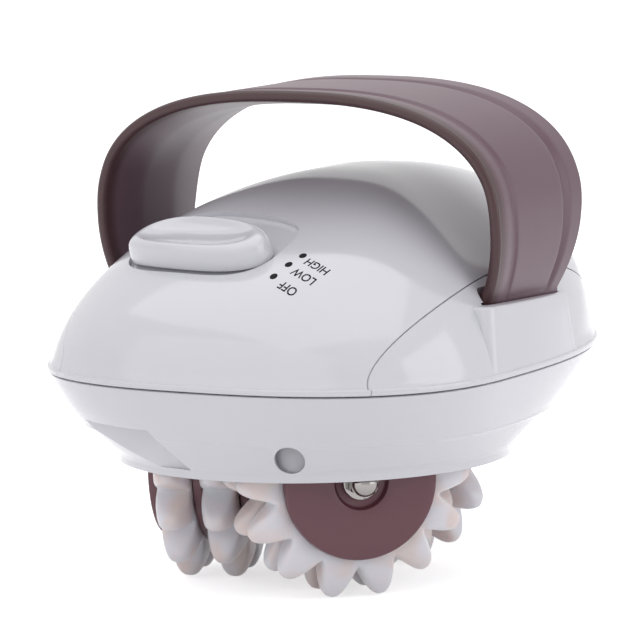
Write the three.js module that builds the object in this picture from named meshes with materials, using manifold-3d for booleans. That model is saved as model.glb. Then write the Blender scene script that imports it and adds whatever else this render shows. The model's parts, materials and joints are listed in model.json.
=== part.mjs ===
import * as THREE from 'three';
import { mergeVertices } from 'three/addons/utils/BufferGeometryUtils.js';
import Module from 'manifold-3d';

const wasm = await Module();
wasm.setup();

// Handheld roller massager, in millimetres and degrees. +Z is up and -X is the switch end. The origin
// lies on the surface that the massager stands on, below the middle of the body's length.

// Body outline: an egg of two superelliptic halves that meet where the body is widest. At the sides
// it flares out past the lip of the lower housing, and at the front it leaves room for the posts.
const sideFlare = 10.8;
const frontRoom = 4.5;
const rearReach = 100;
const outlinePower = 2.4;
const flangeLip = 1.4;
const flangeHeight = 1.6;
const partingGap = 0.4;
const rimInset = 0.7;
const shellWall = 2.2;

// Dome over the parting line, with its top behind the widest line. Each direction has two powers.
const domeHeadroom = 9.9;
const domeTopSet = 37.3;
const domePowerShares = { front: [1.3, 2.33], side: [2.06, 1.61], rear: [2.56, 2.9] };

// Lower housing: a bowl in two bands down to a round lip, with the roller well inside
const wellAxisSet = 9.9;
const wellClearance = 1.25;
const wellWall = 2;
const wellFlatWall = 1.15;
const lipSet = 3.2;
const lipAboveAxle = 2;
const plateOverParting = 11.5;
const lipBand = 2;
const lipStep = 0.7;
const bowlFloor = 2.4;
const creaseDrop = 11.3;
const creaseShare = 0.58;

// Rollers: three at equal angles round the turret axis, each with two toothed rings
const rollerCount = 3;
const rollerHeading = -133;
const rollerTipRadius = 29.5;
const rollerRootRadius = 22;
const toothCount = 14;
const toothTipShare = 0.34;
const toothTipWidth = 4.8;
const toothShoulder = 1.2;
const neighbourGap = 0.17;
const ringWidth = 8.8;
const ringSeatRadius = 14.6;
const spacerWidth = 2.6;
const spacerRadius = 20.2;
const capRadius = 19.6;
const capThickness = 2.4;
const capRound = 0.7;
const capRecessMargin = 1;
const capRecessDepth = 1.5;
const axleRadius = 2.5;
const axleInnerReach = 5.6;
const washerBrim = 0.7;
const washerThickness = 0.8;
const nutWall = 1.2;
const nutHexHeight = 2.6;
const nutDomeHeight = 2.7;

// Carrier that turns with the axles, and its shaft and bush in the mounting plate
const tipClearance = 0.9;
const carrierClearance = 1.6;
const carrierThickness = 2.4;
const carrierTopGap = 0.7;
const hubClearance = 0.35;
const hubBelowAxle = 8;
const plateThickness = 2.6;
const shaftRadius = 4;
const shaftSeatDepth = 16;
const bushWall = 3;
const bushBrim = 2;
const bushFlangeThickness = 1.2;

// Gear train: worm on the motor shaft, worm wheel with pinion, output gear on the shaft
const gearModule = 1.1;
const outputTeeth = 30;
const pinionTeeth = 10;
const outputGearWidth = 5;
const gearLift = 0.6;
const wheelModule = 0.9;
const wheelTeeth = 24;
const wheelWidth = 5;
const meshGap = 0.35;
const addendumShare = 0.9;
const dedendumShare = 1.2;
const toothHalfShares = { root: 0.32, tip: 0.12 };
const compoundHeading = -60;
const pinRadius = 1.5;
const wormPitchRadius = 3.4;
const wormTurns = 4;
const wormThreadSteps = 6;
const motorRadius = 11.5;
const motorLength = 31;
const motorNoseRadius = 4;
const motorNoseLength = 2;
const motorShaftRadius = 1.15;
const motorToWheel = 1;
const cradleWall = 2.6;
const cradleLength = 20;
const clampThickness = 1.6;
const clampLength = 9;

// Strap: a wide moulded band over the dome, a little in front of the body's middle, narrower at the
// feet that sit in the sockets
const strapForward = 1;
const strapShoulderRise = 34.4;
const handSpace = 17.1;
const strapPower = 2.55;
const strapThickness = 4.6;
const strapRelief = 0.7;
const strapCrownWidth = 51;
const strapShoulderWidth = 47;
const strapFootWidth = 30;
const strapTaperRise = 29;
const strapFootDrop = 17;
const strapFootLean = 3.7;
const strapEndRise = 5.4;
const strapPinRadius = 1.5;
const strapPinCover = 2.2;
const strapPinAboveEnd = 4;

// Side panels with the strap sockets
const panelForward = 2;
const panelHalfLength = 62;
const panelOverPod = 6;
const panelOverStrap = 1.2;
const panelDepth = 36;
const seamGap = 0.3;
const podFrontMargin = 6.4;
const podRearMargin = 4.4;
const podRearWall = 0.52;
const podInset = 2.2;
const podCornerShare = 0.733;

// Switch: an oval thumb slider that travels over a shallow oval track in the dome
const knobSet = 28.5;
const knobPlaceY = 13;
const knobHeading = -8;
const knobLength = 42;
const knobWidth = 17.5;
const knobRise = 5.4;
const knobEdge = 2.6;
const knobDish = 2.4;
const knobSkirt = 2.8;
const knobPower = 2.3;
const knobTravel = 9.6;
const knobFloat = 0.6;
const trackDepth = 1.4;
const trackMargin = 1.3;
const trackPower = 2.9;
const trackFloor = 1.6;
const stemLength = 4;
const stemWidth = 5;
const stemThickness = 3.2;
const slotMargin = 0.6;
const switchWall = 3.6;
const switchWidth = 9;
const switchHeight = 4.6;
const leverLength = 2.6;
const leverWidth = 3.2;
const leverSink = 2;
const boardMargin = 1;
const boardWidth = 30;
const boardThickness = 1.6;
const boardPostWall = 1;
const boardPostInset = 3.2;

// Screws, posts, the power jack, the screw recess and the finger notch of the lower housing
const seatGap = 0.25;
const runningGap = 0.3;
const postWall = 0.8;
const postSet = 5.8;
const plateScrewHeadings = [28, 146, -146, -28];
const screwRadius = 1.4;
const screwHeadRadius = 2.8;
const screwHeadHeight = 1.8;
const screwLength = 9;
const boardScrewLength = 6;
const caseScrewSet = 19;
const caseScrewY = 21;
const caseScrewSink = 4.4;
const jackRadius = 4;
const jackWall = 1.3;
const jackPinRadius = 0.8;
const jackLength = 13;
const jackFloor = 4;
const jackBrim = 2;
const jackFlangeThickness = 2.5;
const jackFlangeGap = 1.6;
const jackRise = 7.5;
const jackFaceInset = 0.2;
const recessHeading = 203.5;
const recessRadius = 3.7;
const recessDepth = 3;
const recessRise = 6.2;
const notchHeading = 142;
const notchTopHalf = 12.8;
const notchFootHalf = 17.6;
const notchRise = 9.6;

// Facets round a full turn, and how far a cutting shape runs past what it cuts
const bodyFacets = 48;
const domeRings = 8;
const wellFacets = 36;
const roundFacets = 18;
const smallFacets = 10;
const holeFacets = 8;
const curveFacets = 6;
const hexSides = 6;
const nutDomeSteps = 4;
const overrun = 20;

// Heights and places that follow from the sizes above
const fullTurn = 2 * Math.PI;
const degrees = THREE.MathUtils.degToRad;
const toothPitch = fullTurn / toothCount;

// Reaches along a roller's axle, from the turret axis outwards. The toothed tips of neighbours pass
// close by each other, and the well clears both the outer tips and the nuts.
const tipRelief = (ringWidth - toothTipWidth) / 2;
const neighbourSlope = Math.tan(Math.PI / rollerCount);
const innerRingFoot = neighbourGap + Math.max(
  rollerTipRadius / neighbourSlope - tipRelief,
  (rollerRootRadius + toothShoulder) / neighbourSlope,
  capRadius / neighbourSlope + capThickness + seatGap);
const outerRingFoot = innerRingFoot + ringWidth + seatGap + spacerWidth;
const capFoot = outerRingFoot + ringWidth + seatGap;
const capFaceReach = capFoot + capThickness;
const hubFoot = innerRingFoot - capThickness - seatGap;
const washerFoot = capFaceReach - capRecessDepth + runningGap;
const nutFoot = washerFoot + washerThickness + seatGap;
const tipReach = Math.hypot(outerRingFoot + ringWidth - tipRelief, rollerTipRadius);
const nutReach = nutFoot + nutHexHeight + nutDomeHeight;
const nutRadius = axleRadius + nutWall;
const washerRadius = nutRadius + washerBrim;
const capRecessRadius = washerRadius + capRecessMargin;
const wellRadius = Math.max(tipReach, nutReach) + wellClearance;
const wellFlat = wellRadius + wellFlatWall;
const lipRadius = wellRadius + lipSet;
const carrierRadius = wellRadius - carrierClearance;
const hubRadius = hubFoot - hubClearance;
const bushRadius = shaftRadius + bushWall;
const bushFlangeRadius = bushRadius + bushBrim;

const postRadius = screwHeadRadius + postWall;
const postRing = wellRadius + postSet;
const bodyWidth = 2 * (lipRadius + sideFlare);
const frontReach = postRing + postRadius + frontRoom - wellAxisSet;
const widestX = (frontReach - rearReach) / 2;
const domeTopX = widestX + domeTopSet;
const wellAxisX = widestX + wellAxisSet;
const caseScrewX = widestX + rearReach - caseScrewSet;
const axleHeight = rollerTipRadius * Math.cos(toothPitch * (1 - toothTipShare) / 2);
const lipHeight = axleHeight + lipAboveAxle;
const carrierFoot = axleHeight + rollerTipRadius + tipClearance;
const carrierTop = carrierFoot + carrierThickness;
const plateFoot = carrierTop + carrierTopGap;
const plateTop = plateFoot + plateThickness;
const wellTop = plateFoot - seatGap;
const partingHeight = plateTop - plateOverParting;
const shellFoot = partingHeight + partingGap;
const gearFoot = plateTop + seatGap + bushFlangeThickness + gearLift;
const gearTop = gearFoot + outputGearWidth;
const wormRootRadius = wormPitchRadius - wheelModule;
const wormTipRadius = wormPitchRadius + wheelModule;
const wormLength = wormTurns * Math.PI * wheelModule;
const motorAxisHeight = gearTop + gearLift + wormTipRadius;
const wheelFoot = motorAxisHeight - wheelWidth / 2;
const gearSpacing = gearModule * (outputTeeth + pinionTeeth) / 2 + meshGap;
const compoundX = wellAxisX + gearSpacing * Math.cos(degrees(compoundHeading));
const compoundY = gearSpacing * Math.sin(degrees(compoundHeading));
const motorY = compoundY + wheelModule * wheelTeeth / 2 + wormPitchRadius + meshGap;
const wheelTipRadius = wheelModule * (wheelTeeth / 2 + addendumShare);
const motorFaceX = compoundX + wheelTipRadius + motorToWheel;

const clampTop = motorAxisHeight + motorRadius + seatGap + clampThickness;
const domeRise = clampTop - shellFoot + domeHeadroom;
const strapCentreX = -strapForward;
const podFront = strapCentreX - strapFootWidth / 2 - podFrontMargin;
const podRear = strapCentreX + strapFootWidth / 2 + podRearMargin;
const strapHalfSpan = outlineHalfWidth(podRear, podInset) - podRearWall + strapFootLean;
const strapCrownRise = domeRise + handSpace + strapThickness - strapShoulderRise;
const strapPinLength = strapFootWidth + 2 * (podRearMargin - strapPinCover);
const panelCentreX = -panelForward;
const podRise = strapShoulderRise - strapFootDrop;
const podBack = wellFlat + seatGap;

// The panel reaches over the socket, and up to where the strap stands clear of the dome
const strapFootInside = strapHalfSpan - strapFootLean - strapThickness;
const strapFootShare = strapFootInside / (bodyWidth / 2 - flangeLip);
const [sideInner, sideOuter] = domePowerShares.side;
const strapClearRise = domeRise * (1 - strapFootShare ** sideInner) ** (1 / sideOuter);
const panelRise = Math.max(podRise + panelOverPod, strapClearRise + panelOverStrap);
const strapTailLength = podRise - strapEndRise;
const knobPlaceX = widestX - frontReach + knobSet;
const switchLength = knobTravel + leverLength + 2 * (runningGap + switchWall);
const boardLength = switchLength + 2 * boardMargin;
const boardPostRadius = screwRadius + boardPostWall;
const jackBore = jackRadius - jackWall;
const jackDepth = jackLength - jackFloor;
const jackFlangeRadius = jackRadius + jackBrim;

const look = (color, roughness, metalness = 0) =>
  new THREE.MeshStandardMaterial({ color, roughness, metalness });
const white = look('#eeedf1', 0.2);
const mauveRubber = look('#6f565c', 0.6);
const mauvePlastic = look('#6a464c', 0.5);
const ivory = look('#ece4dc', 0.45);
const steel = look('#b9babd', 0.25, 1);
const brass = look('#b8995a', 0.35, 1);
const nylon = look('#e3dfd2', 0.5);
const boardGreen = look('#2f6b45', 0.6);
const black = look('#26262a', 0.5);

const massager = new THREE.Group();

function put(name, geometry, material, place = new THREE.Matrix4()) {
  const mesh = new THREE.Mesh(geometry, material);
  mesh.name = name;
  mesh.applyMatrix4(place);
  massager.add(mesh);
}

// Solids for cutting and joining

function toSolid(geometry) {
  const bare = geometry.clone();
  bare.deleteAttribute('normal');
  bare.deleteAttribute('uv');
  const merged = mergeVertices(bare);
  return new wasm.Manifold(new wasm.Mesh({
    numProp: 3,
    vertProperties: new Float32Array(merged.attributes.position.array),
    triVerts: new Uint32Array(merged.index.array),
  }));
}

function toGeometry(solid) {
  const mesh = solid.getMesh();
  const geometry = new THREE.BufferGeometry();
  geometry.setAttribute('position', new THREE.BufferAttribute(mesh.vertProperties, 3));
  geometry.setIndex(new THREE.BufferAttribute(mesh.triVerts, 1));
  geometry.computeVertexNormals();
  return geometry;
}

const moved = (x, y, z) => new THREE.Matrix4().makeTranslation(x, y, z);
const turnedZ = (angle) => new THREE.Matrix4().makeRotationZ(angle);

function cylinder(radius, foot, top, x = 0, y = 0, facets = roundFacets) {
  const geometry = new THREE.CylinderGeometry(radius, radius, top - foot, facets);
  geometry.rotateX(Math.PI / 2);
  geometry.translate(x, y, (foot + top) / 2);
  return toSolid(geometry);
}

function block(from, to) {
  const size = to.map((value, axis) => value - from[axis]);
  const geometry = new THREE.BoxGeometry(...size);
  geometry.translate(...to.map((value, axis) => (value + from[axis]) / 2));
  return toSolid(geometry);
}

// A lathe profile of [radius, height] points, turned about Z
function lathe(profile, facets) {
  const points = profile.map(([radius, height]) => new THREE.Vector2(radius, height));
  const geometry = new THREE.LatheGeometry(points, facets);
  geometry.rotateX(Math.PI / 2);
  return toSolid(geometry);
}

// A skin over rings with the same number of points, closed by a fan to a pole at each end, or, with
// no poles, by joining the last ring to the first
function skin(rings, firstPole, lastPole) {
  const count = rings[0].length;
  const positions = rings.flat().flatMap((point) => [point.x, point.y, point.z]);
  const index = [];
  const joined = firstPole ? rings.length - 1 : rings.length;
  for (let ring = 0; ring < joined; ring += 1) {
    const here = ring * count;
    const next = ((ring + 1) % rings.length) * count;
    for (let i = 0; i < count; i += 1) {
      const j = (i + 1) % count;
      index.push(here + i, here + j, next + j, here + i, next + j, next + i);
    }
  }
  if (firstPole) {
    const first = positions.length / 3;
    positions.push(firstPole.x, firstPole.y, firstPole.z, lastPole.x, lastPole.y, lastPole.z);
    const last = (rings.length - 1) * count;
    for (let i = 0; i < count; i += 1) {
      const j = (i + 1) % count;
      index.push(first, j, i, first + 1, last + i, last + j);
    }
  }
  let volume = 0;
  const corner = (at) => new THREE.Vector3().fromArray(positions, 3 * at);
  for (let i = 0; i < index.length; i += 3) {
    volume += corner(index[i]).dot(corner(index[i + 1]).cross(corner(index[i + 2])));
  }
  const geometry = new THREE.BufferGeometry();
  geometry.setAttribute('position', new THREE.Float32BufferAttribute(positions, 3));
  geometry.setIndex(volume < 0 ? index.reverse() : index);
  return toSolid(geometry);
}

// Body outline and dome surface

function outlinePoint(angle, inset) {
  const c = Math.cos(angle);
  const s = Math.sin(angle);
  const reach = (c < 0 ? frontReach : rearReach) - inset;
  const bulge = 2 / outlinePower;
  return {
    x: widestX + reach * Math.sign(c) * Math.abs(c) ** bulge,
    y: (bodyWidth / 2 - inset) * Math.sign(s) * Math.abs(s) ** bulge,
  };
}

function outlineHalfWidth(x, inset) {
  const reach = (x < widestX ? frontReach : rearReach) - inset;
  const share = Math.abs((x - widestX) / reach);
  return (bodyWidth / 2 - inset) * (1 - share ** outlinePower) ** (1 / outlinePower);
}

// Height share of the dome over a point at a share of the way from its top to the outline
function domeShare(share, angle) {
  const c = Math.cos(angle);
  const weights = { front: Math.max(-c, 0) ** 2, side: 1 - c ** 2, rear: Math.max(c, 0) ** 2 };
  const power = (which) => Object.keys(weights)
    .reduce((sum, side) => sum + weights[side] * domePowerShares[side][which], 0);
  return Math.max(1 - share ** power(0), 0) ** (1 / power(1));
}

function domeRing(share, inset, facets) {
  return Array.from({ length: facets }, (_, i) => {
    const angle = fullTurn * i / facets;
    const edge = outlinePoint(angle, inset);
    const rise = domeRise - (inset - flangeLip);
    return new THREE.Vector3(
      domeTopX + share * (edge.x - domeTopX), share * edge.y, shellFoot + rise * domeShare(share, angle));
  });
}

const domeSteps = (inset, facets, steps) => Array.from({ length: steps }, (_, k) =>
  domeRing(Math.cos(Math.PI / 2 * k / steps), inset, facets));
const domeTop = (inset) => new THREE.Vector3(domeTopX, 0, shellFoot + domeRise - (inset - flangeLip));

function outlineRing(inset, height, facets) {
  return Array.from({ length: facets }, (_, i) => {
    const edge = outlinePoint(fullTurn * i / facets, inset);
    return new THREE.Vector3(edge.x, edge.y, height);
  });
}

// The closed dome, thinner by an inset and open a little way down, for cutting what follows its curve
function domeSolid(inset, facets = bodyFacets, steps = domeRings) {
  const foot = shellFoot - flangeHeight;
  const rings = [outlineRing(inset, foot, facets), ...domeSteps(inset, facets, steps)];
  return skin(rings, new THREE.Vector3(widestX, 0, foot), domeTop(inset));
}

// Height of the dome's outer surface over a place: the outline point on the same line from the top
function domeHeightAt(x, y) {
  let low = -Math.PI;
  let high = Math.PI;
  const wanted = Math.atan2(y, x - domeTopX);
  while (high - low > Number.EPSILON * fullTurn) {
    const middle = (low + high) / 2;
    if (middle === low || middle === high) break;
    const edge = outlinePoint(middle, flangeLip);
    if (Math.atan2(edge.y, edge.x - domeTopX) < wanted) low = middle;
    else high = middle;
  }
  const edge = outlinePoint(low, flangeLip);
  const share = Math.hypot(x - domeTopX, y) / Math.hypot(edge.x - domeTopX, edge.y);
  return shellFoot + domeRise * domeShare(share, low);
}

// Switch frame on the dome: across the travel, along the travel and out of the surface

const travelX = knobTravel * Math.cos(degrees(knobHeading));
const travelY = knobTravel * Math.sin(degrees(knobHeading));
const offPoint = new THREE.Vector3(knobPlaceX, knobPlaceY, domeHeightAt(knobPlaceX, knobPlaceY));
const highPoint = new THREE.Vector3(
  knobPlaceX + travelX, knobPlaceY + travelY, domeHeightAt(knobPlaceX + travelX, knobPlaceY + travelY));
const alongTravel = highPoint.clone().sub(offPoint).normalize();
const sideStep = new THREE.Vector3(-travelY, travelX, 0);
const sideUp = domeHeightAt(knobPlaceX - travelY, knobPlaceY + travelX);
const sideDown = domeHeightAt(knobPlaceX + travelY, knobPlaceY - travelX);
const acrossTravel = sideStep.setZ((sideUp - sideDown) / 2).projectOnPlane(alongTravel).normalize();
const outOfDome = alongTravel.clone().cross(acrossTravel);
const switchPlace = new THREE.Matrix4()
  .makeBasis(alongTravel, acrossTravel, outOfDome).setPosition(offPoint);

const inSwitch = (solid) => toSolid(toGeometry(solid).applyMatrix4(switchPlace));

// How far the dome lies below the flat of the switch frame, measured out of the surface
function sagAt(along, across) {
  const point = new THREE.Vector3(along, across, 0).applyMatrix4(switchPlace);
  return (domeHeightAt(point.x, point.y) - point.z) * outOfDome.z;
}

const ovalShape = (halfAlong, halfAcross, power) => new THREE.Shape(
  Array.from({ length: bodyFacets / 2 }, (_, i) => {
    const angle = 2 * fullTurn * i / bodyFacets;
    const [c, s] = [Math.cos(angle), Math.sin(angle)];
    return new THREE.Vector2(
      halfAlong * Math.sign(c) * Math.abs(c) ** (2 / power),
      halfAcross * Math.sign(s) * Math.abs(s) ** (2 / power));
  }));

function extruded(shape, from, to) {
  const geometry = new THREE.ExtrudeGeometry(
    shape, { depth: to - from, bevelEnabled: false, curveSegments: curveFacets });
  geometry.translate(0, 0, from);
  return toSolid(geometry);
}

function trackPrism(margin) {
  const half = (knobWidth + knobTravel) / 2 + margin;
  const shape = ovalShape(half, knobLength / 2 + margin, trackPower);
  const prism = toGeometry(extruded(shape, -overrun, overrun));
  prism.translate(knobTravel / 2, 0, 0);
  return inSwitch(toSolid(prism));
}

// Strap: one section swept along the arch, the same on both sides

const strapMouth = shellFoot + strapShoulderRise - strapFootDrop;
const strapArcSteps = 12;
const strapLegSteps = 4;

// Stations from the crown to the end of one foot, in the plane across the body
function strapHalf(endMargin) {
  const shoulder = shellFoot + strapShoulderRise;
  const stations = [];
  for (let k = 0; k <= strapArcSteps; k += 1) {
    const angle = Math.PI / 2 * (1 - k / strapArcSteps);
    const y = strapHalfSpan * Math.cos(angle) ** (2 / strapPower);
    const rise = strapCrownRise * Math.sin(angle) ** (2 / strapPower);
    stations.push({ y: k === 0 ? 0 : y, z: shoulder + rise });
  }
  stations[strapArcSteps].z = shoulder;
  for (let k = 1; k <= strapLegSteps; k += 1) {
    const down = k / strapLegSteps;
    stations.push({ y: strapHalfSpan - strapFootLean * down ** 2, z: shoulder - strapFootDrop * down });
  }
  const mouth = stations[stations.length - 1];
  stations.push({ y: mouth.y, z: mouth.z - strapTailLength - endMargin });
  return stations;
}

function strapWidthAt(z) {
  const taper = THREE.MathUtils.clamp((z - strapMouth) / strapTaperRise, 0, 1);
  const foot = strapFootWidth + (strapShoulderWidth - strapFootWidth) * Math.sin(taper * Math.PI / 2);
  const crownHeight = strapFootDrop + strapCrownRise - strapTaperRise;
  const crown = THREE.MathUtils.clamp((z - strapMouth - strapTaperRise) / crownHeight, 0, 1);
  return foot + (strapCrownWidth - strapShoulderWidth) * crown;
}

// Section of the band as shares of its half width and of its thickness below the outer face. The
// relief flag marks the middle panel, which lies lower than the two borders.
const sectionShares = [
  [-1, 0.5, 0], [-0.97, 0.15, 0], [-0.9, 0, 0], [-0.62, 0, 0], [-0.56, 0, 1], [0.56, 0, 1], [0.62, 0, 0],
  [0.9, 0, 0], [0.97, 0.15, 0], [1, 0.5, 0], [0.97, 0.85, 0], [0.9, 1, 0], [-0.9, 1, 0], [-0.97, 0.85, 0],
];

function strapSolid(margin) {
  const half = strapHalf(margin);
  const path = [
    ...half.map(({ y, z }) => new THREE.Vector2(-y, z)).reverse(),
    ...half.slice(1).map(({ y, z }) => new THREE.Vector2(y, z)),
  ];
  const rings = path.map((point, k) => {
    const before = path[Math.max(k - 1, 0)];
    const after = path[Math.min(k + 1, path.length - 1)];
    const heading = after.clone().sub(before).normalize();
    const outward = new THREE.Vector2(-heading.y, heading.x);
    const halfWidth = strapWidthAt(point.y) / 2 + margin;
    const relief = point.y > strapMouth + strapThickness ? strapRelief : 0;
    return sectionShares.map(([across, down, panel]) => {
      const depth = margin - down * (strapThickness + 2 * margin) - panel * relief;
      return new THREE.Vector3(
        strapCentreX + across * halfWidth, point.x + outward.x * depth, point.y + outward.y * depth);
    });
  });
  const middle = (ring) => ring.reduce((sum, point) => sum.add(point), new THREE.Vector3())
    .divideScalar(ring.length);
  return skin(rings, middle(rings[0]), middle(rings[rings.length - 1]));
}

// The pin that holds a foot crosses it near its end
function strapPin(side, radius, length, facets) {
  const half = strapHalf(0);
  const [mouth, end] = half.slice(-2);
  const share = 1 - strapPinAboveEnd / strapTailLength;
  const y = mouth.y + (end.y - mouth.y) * share - strapThickness / 2;
  const z = mouth.z + (end.z - mouth.z) * share;
  const pin = new THREE.CylinderGeometry(radius, radius, length, facets);
  pin.rotateZ(Math.PI / 2);
  pin.translate(strapCentreX, side * y, z);
  return toSolid(pin);
}

// Top shell: flange, dome and hollow inside, with the switch track, openings and posts

function shellSkin() {
  const outside = [
    outlineRing(0, shellFoot, bodyFacets),
    outlineRing(0, shellFoot + flangeHeight - rimInset / 2, bodyFacets),
    outlineRing(rimInset / 2, shellFoot + flangeHeight, bodyFacets),
    outlineRing(flangeLip, shellFoot + flangeHeight, bodyFacets),
    ...domeSteps(flangeLip, bodyFacets, domeRings).slice(1),
  ];
  const filled = skin(outside, new THREE.Vector3(widestX, 0, shellFoot), domeTop(flangeLip));
  return filled.subtract(domeSolid(flangeLip + shellWall, bodyFacets / 2, domeRings - 2));
}

function panelPrism(side, margin) {
  const shape = new THREE.Shape();
  shape.absellipse(0, 0, panelHalfLength + margin, panelRise + margin, 0, fullTurn);
  const geometry = new THREE.ExtrudeGeometry(
    shape, { depth: panelDepth + margin, bevelEnabled: false, curveSegments: bodyFacets / 2 });
  geometry.rotateX(Math.PI / 2);
  geometry.translate(panelCentreX, -bodyWidth / 2 + panelDepth, shellFoot);
  const prism = toSolid(geometry);
  return side < 0 ? prism : prism.mirror([0, 1, 0]);
}

function caseScrewAxis(side, radius, foot, top, facets) {
  return cylinder(radius, foot, top, caseScrewX, side * caseScrewY, facets);
}

const boardFoot = -(trackDepth + trackFloor + stemLength + switchHeight + seatGap + boardThickness);
const boardPlaces = [-1, 1].map((side) => ({
  along: knobTravel / 2, across: side * (boardWidth / 2 - boardPostInset),
}));

function switchCylinder(radius, foot, top, { along, across }, facets = smallFacets) {
  return inSwitch(cylinder(radius, foot, top, along, across, facets));
}

function topShell() {
  const innerDome = domeSolid(flangeLip + shellWall / 2, bodyFacets / 2);
  const trackCurve = domeSolid(flangeLip + trackDepth);
  const floorCurve = domeSolid(flangeLip + trackDepth + trackFloor, bodyFacets / 2);
  let shell = shellSkin();
  for (const side of [-1, 1]) {
    const top = shellFoot + domeRise;
    const post = caseScrewAxis(side, postRadius, shellFoot, top, smallFacets).intersect(innerDome);
    shell = shell.add(post).subtract(panelPrism(side, seamGap));
  }
  for (const place of boardPlaces) {
    const foot = boardFoot + boardThickness + seatGap;
    shell = shell.add(switchCylinder(boardPostRadius, foot, 0, place).intersect(innerDome));
  }
  shell = shell.add(trackPrism(trackMargin + shellWall).intersect(trackCurve).subtract(floorCurve));
  shell = shell.subtract(trackPrism(trackMargin).subtract(trackCurve));
  const slot = block(
    [-stemThickness / 2 - slotMargin, -stemWidth / 2 - slotMargin, -overrun / 2],
    [stemThickness / 2 + slotMargin + knobTravel, stemWidth / 2 + slotMargin, overrun / 2]);
  shell = shell.subtract(inSwitch(slot));
  for (const place of boardPlaces) {
    const foot = boardFoot - overrun / 2;
    const top = boardFoot + boardScrewLength;
    shell = shell.subtract(switchCylinder(screwRadius + seatGap, foot, top, place, holeFacets));
  }
  for (const side of [-1, 1]) {
    const hole = caseScrewAxis(
      side, screwRadius + seatGap, shellFoot - overrun, shellFoot + screwLength, holeFacets);
    shell = shell.subtract(hole);
  }
  return shell.subtract(jackCylinder(jackRadius + seatGap, -jackLength, overrun, smallFacets));
}

// Flats on both sides of the well tube and the mounting plate, clear of the strap sockets
function flattened(solid) {
  const slab = block(
    [-bodyWidth, -wellFlat, lipHeight - overrun], [bodyWidth, wellFlat, wellTop + overrun]);
  return solid.intersect(slab);
}

// Side panel: the piece of the shell inside the arch, with the strap socket moulded to it

function sidePanel(side) {
  const frontHalf = outlineHalfWidth(podFront, podInset);
  const rearHalf = outlineHalfWidth(podRear, podInset);
  const slope = (frontHalf - rearHalf) / (podRear - podFront);
  const corner = podCornerShare * (rearHalf - podBack);
  const shape = new THREE.Shape();
  shape.moveTo(podFront, podBack);
  shape.lineTo(podRear, podBack);
  shape.lineTo(podRear, rearHalf - corner);
  shape.quadraticCurveTo(podRear, rearHalf, podRear - corner, rearHalf + slope * corner);
  shape.lineTo(podFront + corner, frontHalf);
  shape.quadraticCurveTo(podFront, frontHalf, podFront, frontHalf - corner);
  let pod = extruded(shape, shellFoot, shellFoot + podRise);
  pod = side < 0 ? pod.mirror([0, 1, 0]) : pod;
  const panel = shellSkin().intersect(panelPrism(side, 0)).add(pod).subtract(strapSolid(seatGap));
  return panel.subtract(strapPin(
    side, strapPinRadius + seatGap, strapPinLength + 2 * seatGap, smallFacets));
}

// Lower housing: bowl, well tube, posts, screw recess and finger notch

function bowlRing(share, inset, height) {
  const facets = inset > 0 ? bodyFacets / 2 : bodyFacets;
  return Array.from({ length: facets }, (_, i) => {
    const angle = fullTurn * i / facets;
    const edge = outlinePoint(angle, rimInset + inset);
    const radius = lipRadius + lipStep - inset;
    return new THREE.Vector3(
      THREE.MathUtils.lerp(edge.x, wellAxisX + radius * Math.cos(angle), share),
      THREE.MathUtils.lerp(edge.y, radius * Math.sin(angle), share), height);
  });
}

const bowlSkin = (rings, foot, top) =>
  skin(rings, new THREE.Vector3(wellAxisX, 0, foot), new THREE.Vector3(widestX, 0, top));

function bowlOutside() {
  const lipTop = lipHeight + lipBand;
  return bowlSkin([
    lipRing(lipHeight), lipRing(lipTop), bowlRing(1, 0, lipTop + lipStep),
    bowlRing(creaseShare, 0, partingHeight - creaseDrop), bowlRing(0, 0, partingHeight),
  ], lipHeight, partingHeight);
}

function bowlHollow() {
  const foot = lipHeight + bowlFloor;
  const top = partingHeight + overrun;
  return bowlSkin([
    bowlRing(1, shellWall, foot), bowlRing(creaseShare, shellWall, partingHeight - creaseDrop),
    bowlRing(0, shellWall, partingHeight), bowlRing(0, shellWall, top),
  ], foot, top);
}

const lipRing = (height) => Array.from({ length: bodyFacets }, (_, i) => {
  const angle = fullTurn * i / bodyFacets;
  return new THREE.Vector3(wellAxisX + lipRadius * Math.cos(angle), lipRadius * Math.sin(angle), height);
});

function radial(solid, heading) {
  const place = moved(wellAxisX, 0, 0).multiply(turnedZ(degrees(heading)));
  return toSolid(toGeometry(solid).applyMatrix4(place));
}

// A cylinder along +X from one reach to another, at a height
function reachCylinder(radius, from, to, height, facets) {
  const geometry = new THREE.CylinderGeometry(radius, radius, to - from, facets);
  geometry.rotateZ(Math.PI / 2);
  geometry.translate((from + to) / 2, 0, height);
  return toSolid(geometry);
}

// The notch as a prism that runs outwards, grown by a margin for the wall that lines it
function notchPrism(margin) {
  const foot = lipHeight + lipBand - margin;
  const top = lipHeight + notchRise + margin;
  const shape = new THREE.Shape();
  shape.moveTo(-notchFootHalf - margin, foot);
  shape.lineTo(notchFootHalf + margin, foot);
  shape.lineTo(notchTopHalf + margin, top);
  shape.lineTo(-notchTopHalf - margin, top);
  const geometry = new THREE.ExtrudeGeometry(shape, { depth: overrun + margin, bevelEnabled: false });
  geometry.rotateX(Math.PI / 2);
  geometry.rotateZ(Math.PI / 2);
  geometry.translate(wellRadius + wellWall + seatGap - margin, 0, 0);
  return radial(toSolid(geometry), notchHeading);
}

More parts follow.
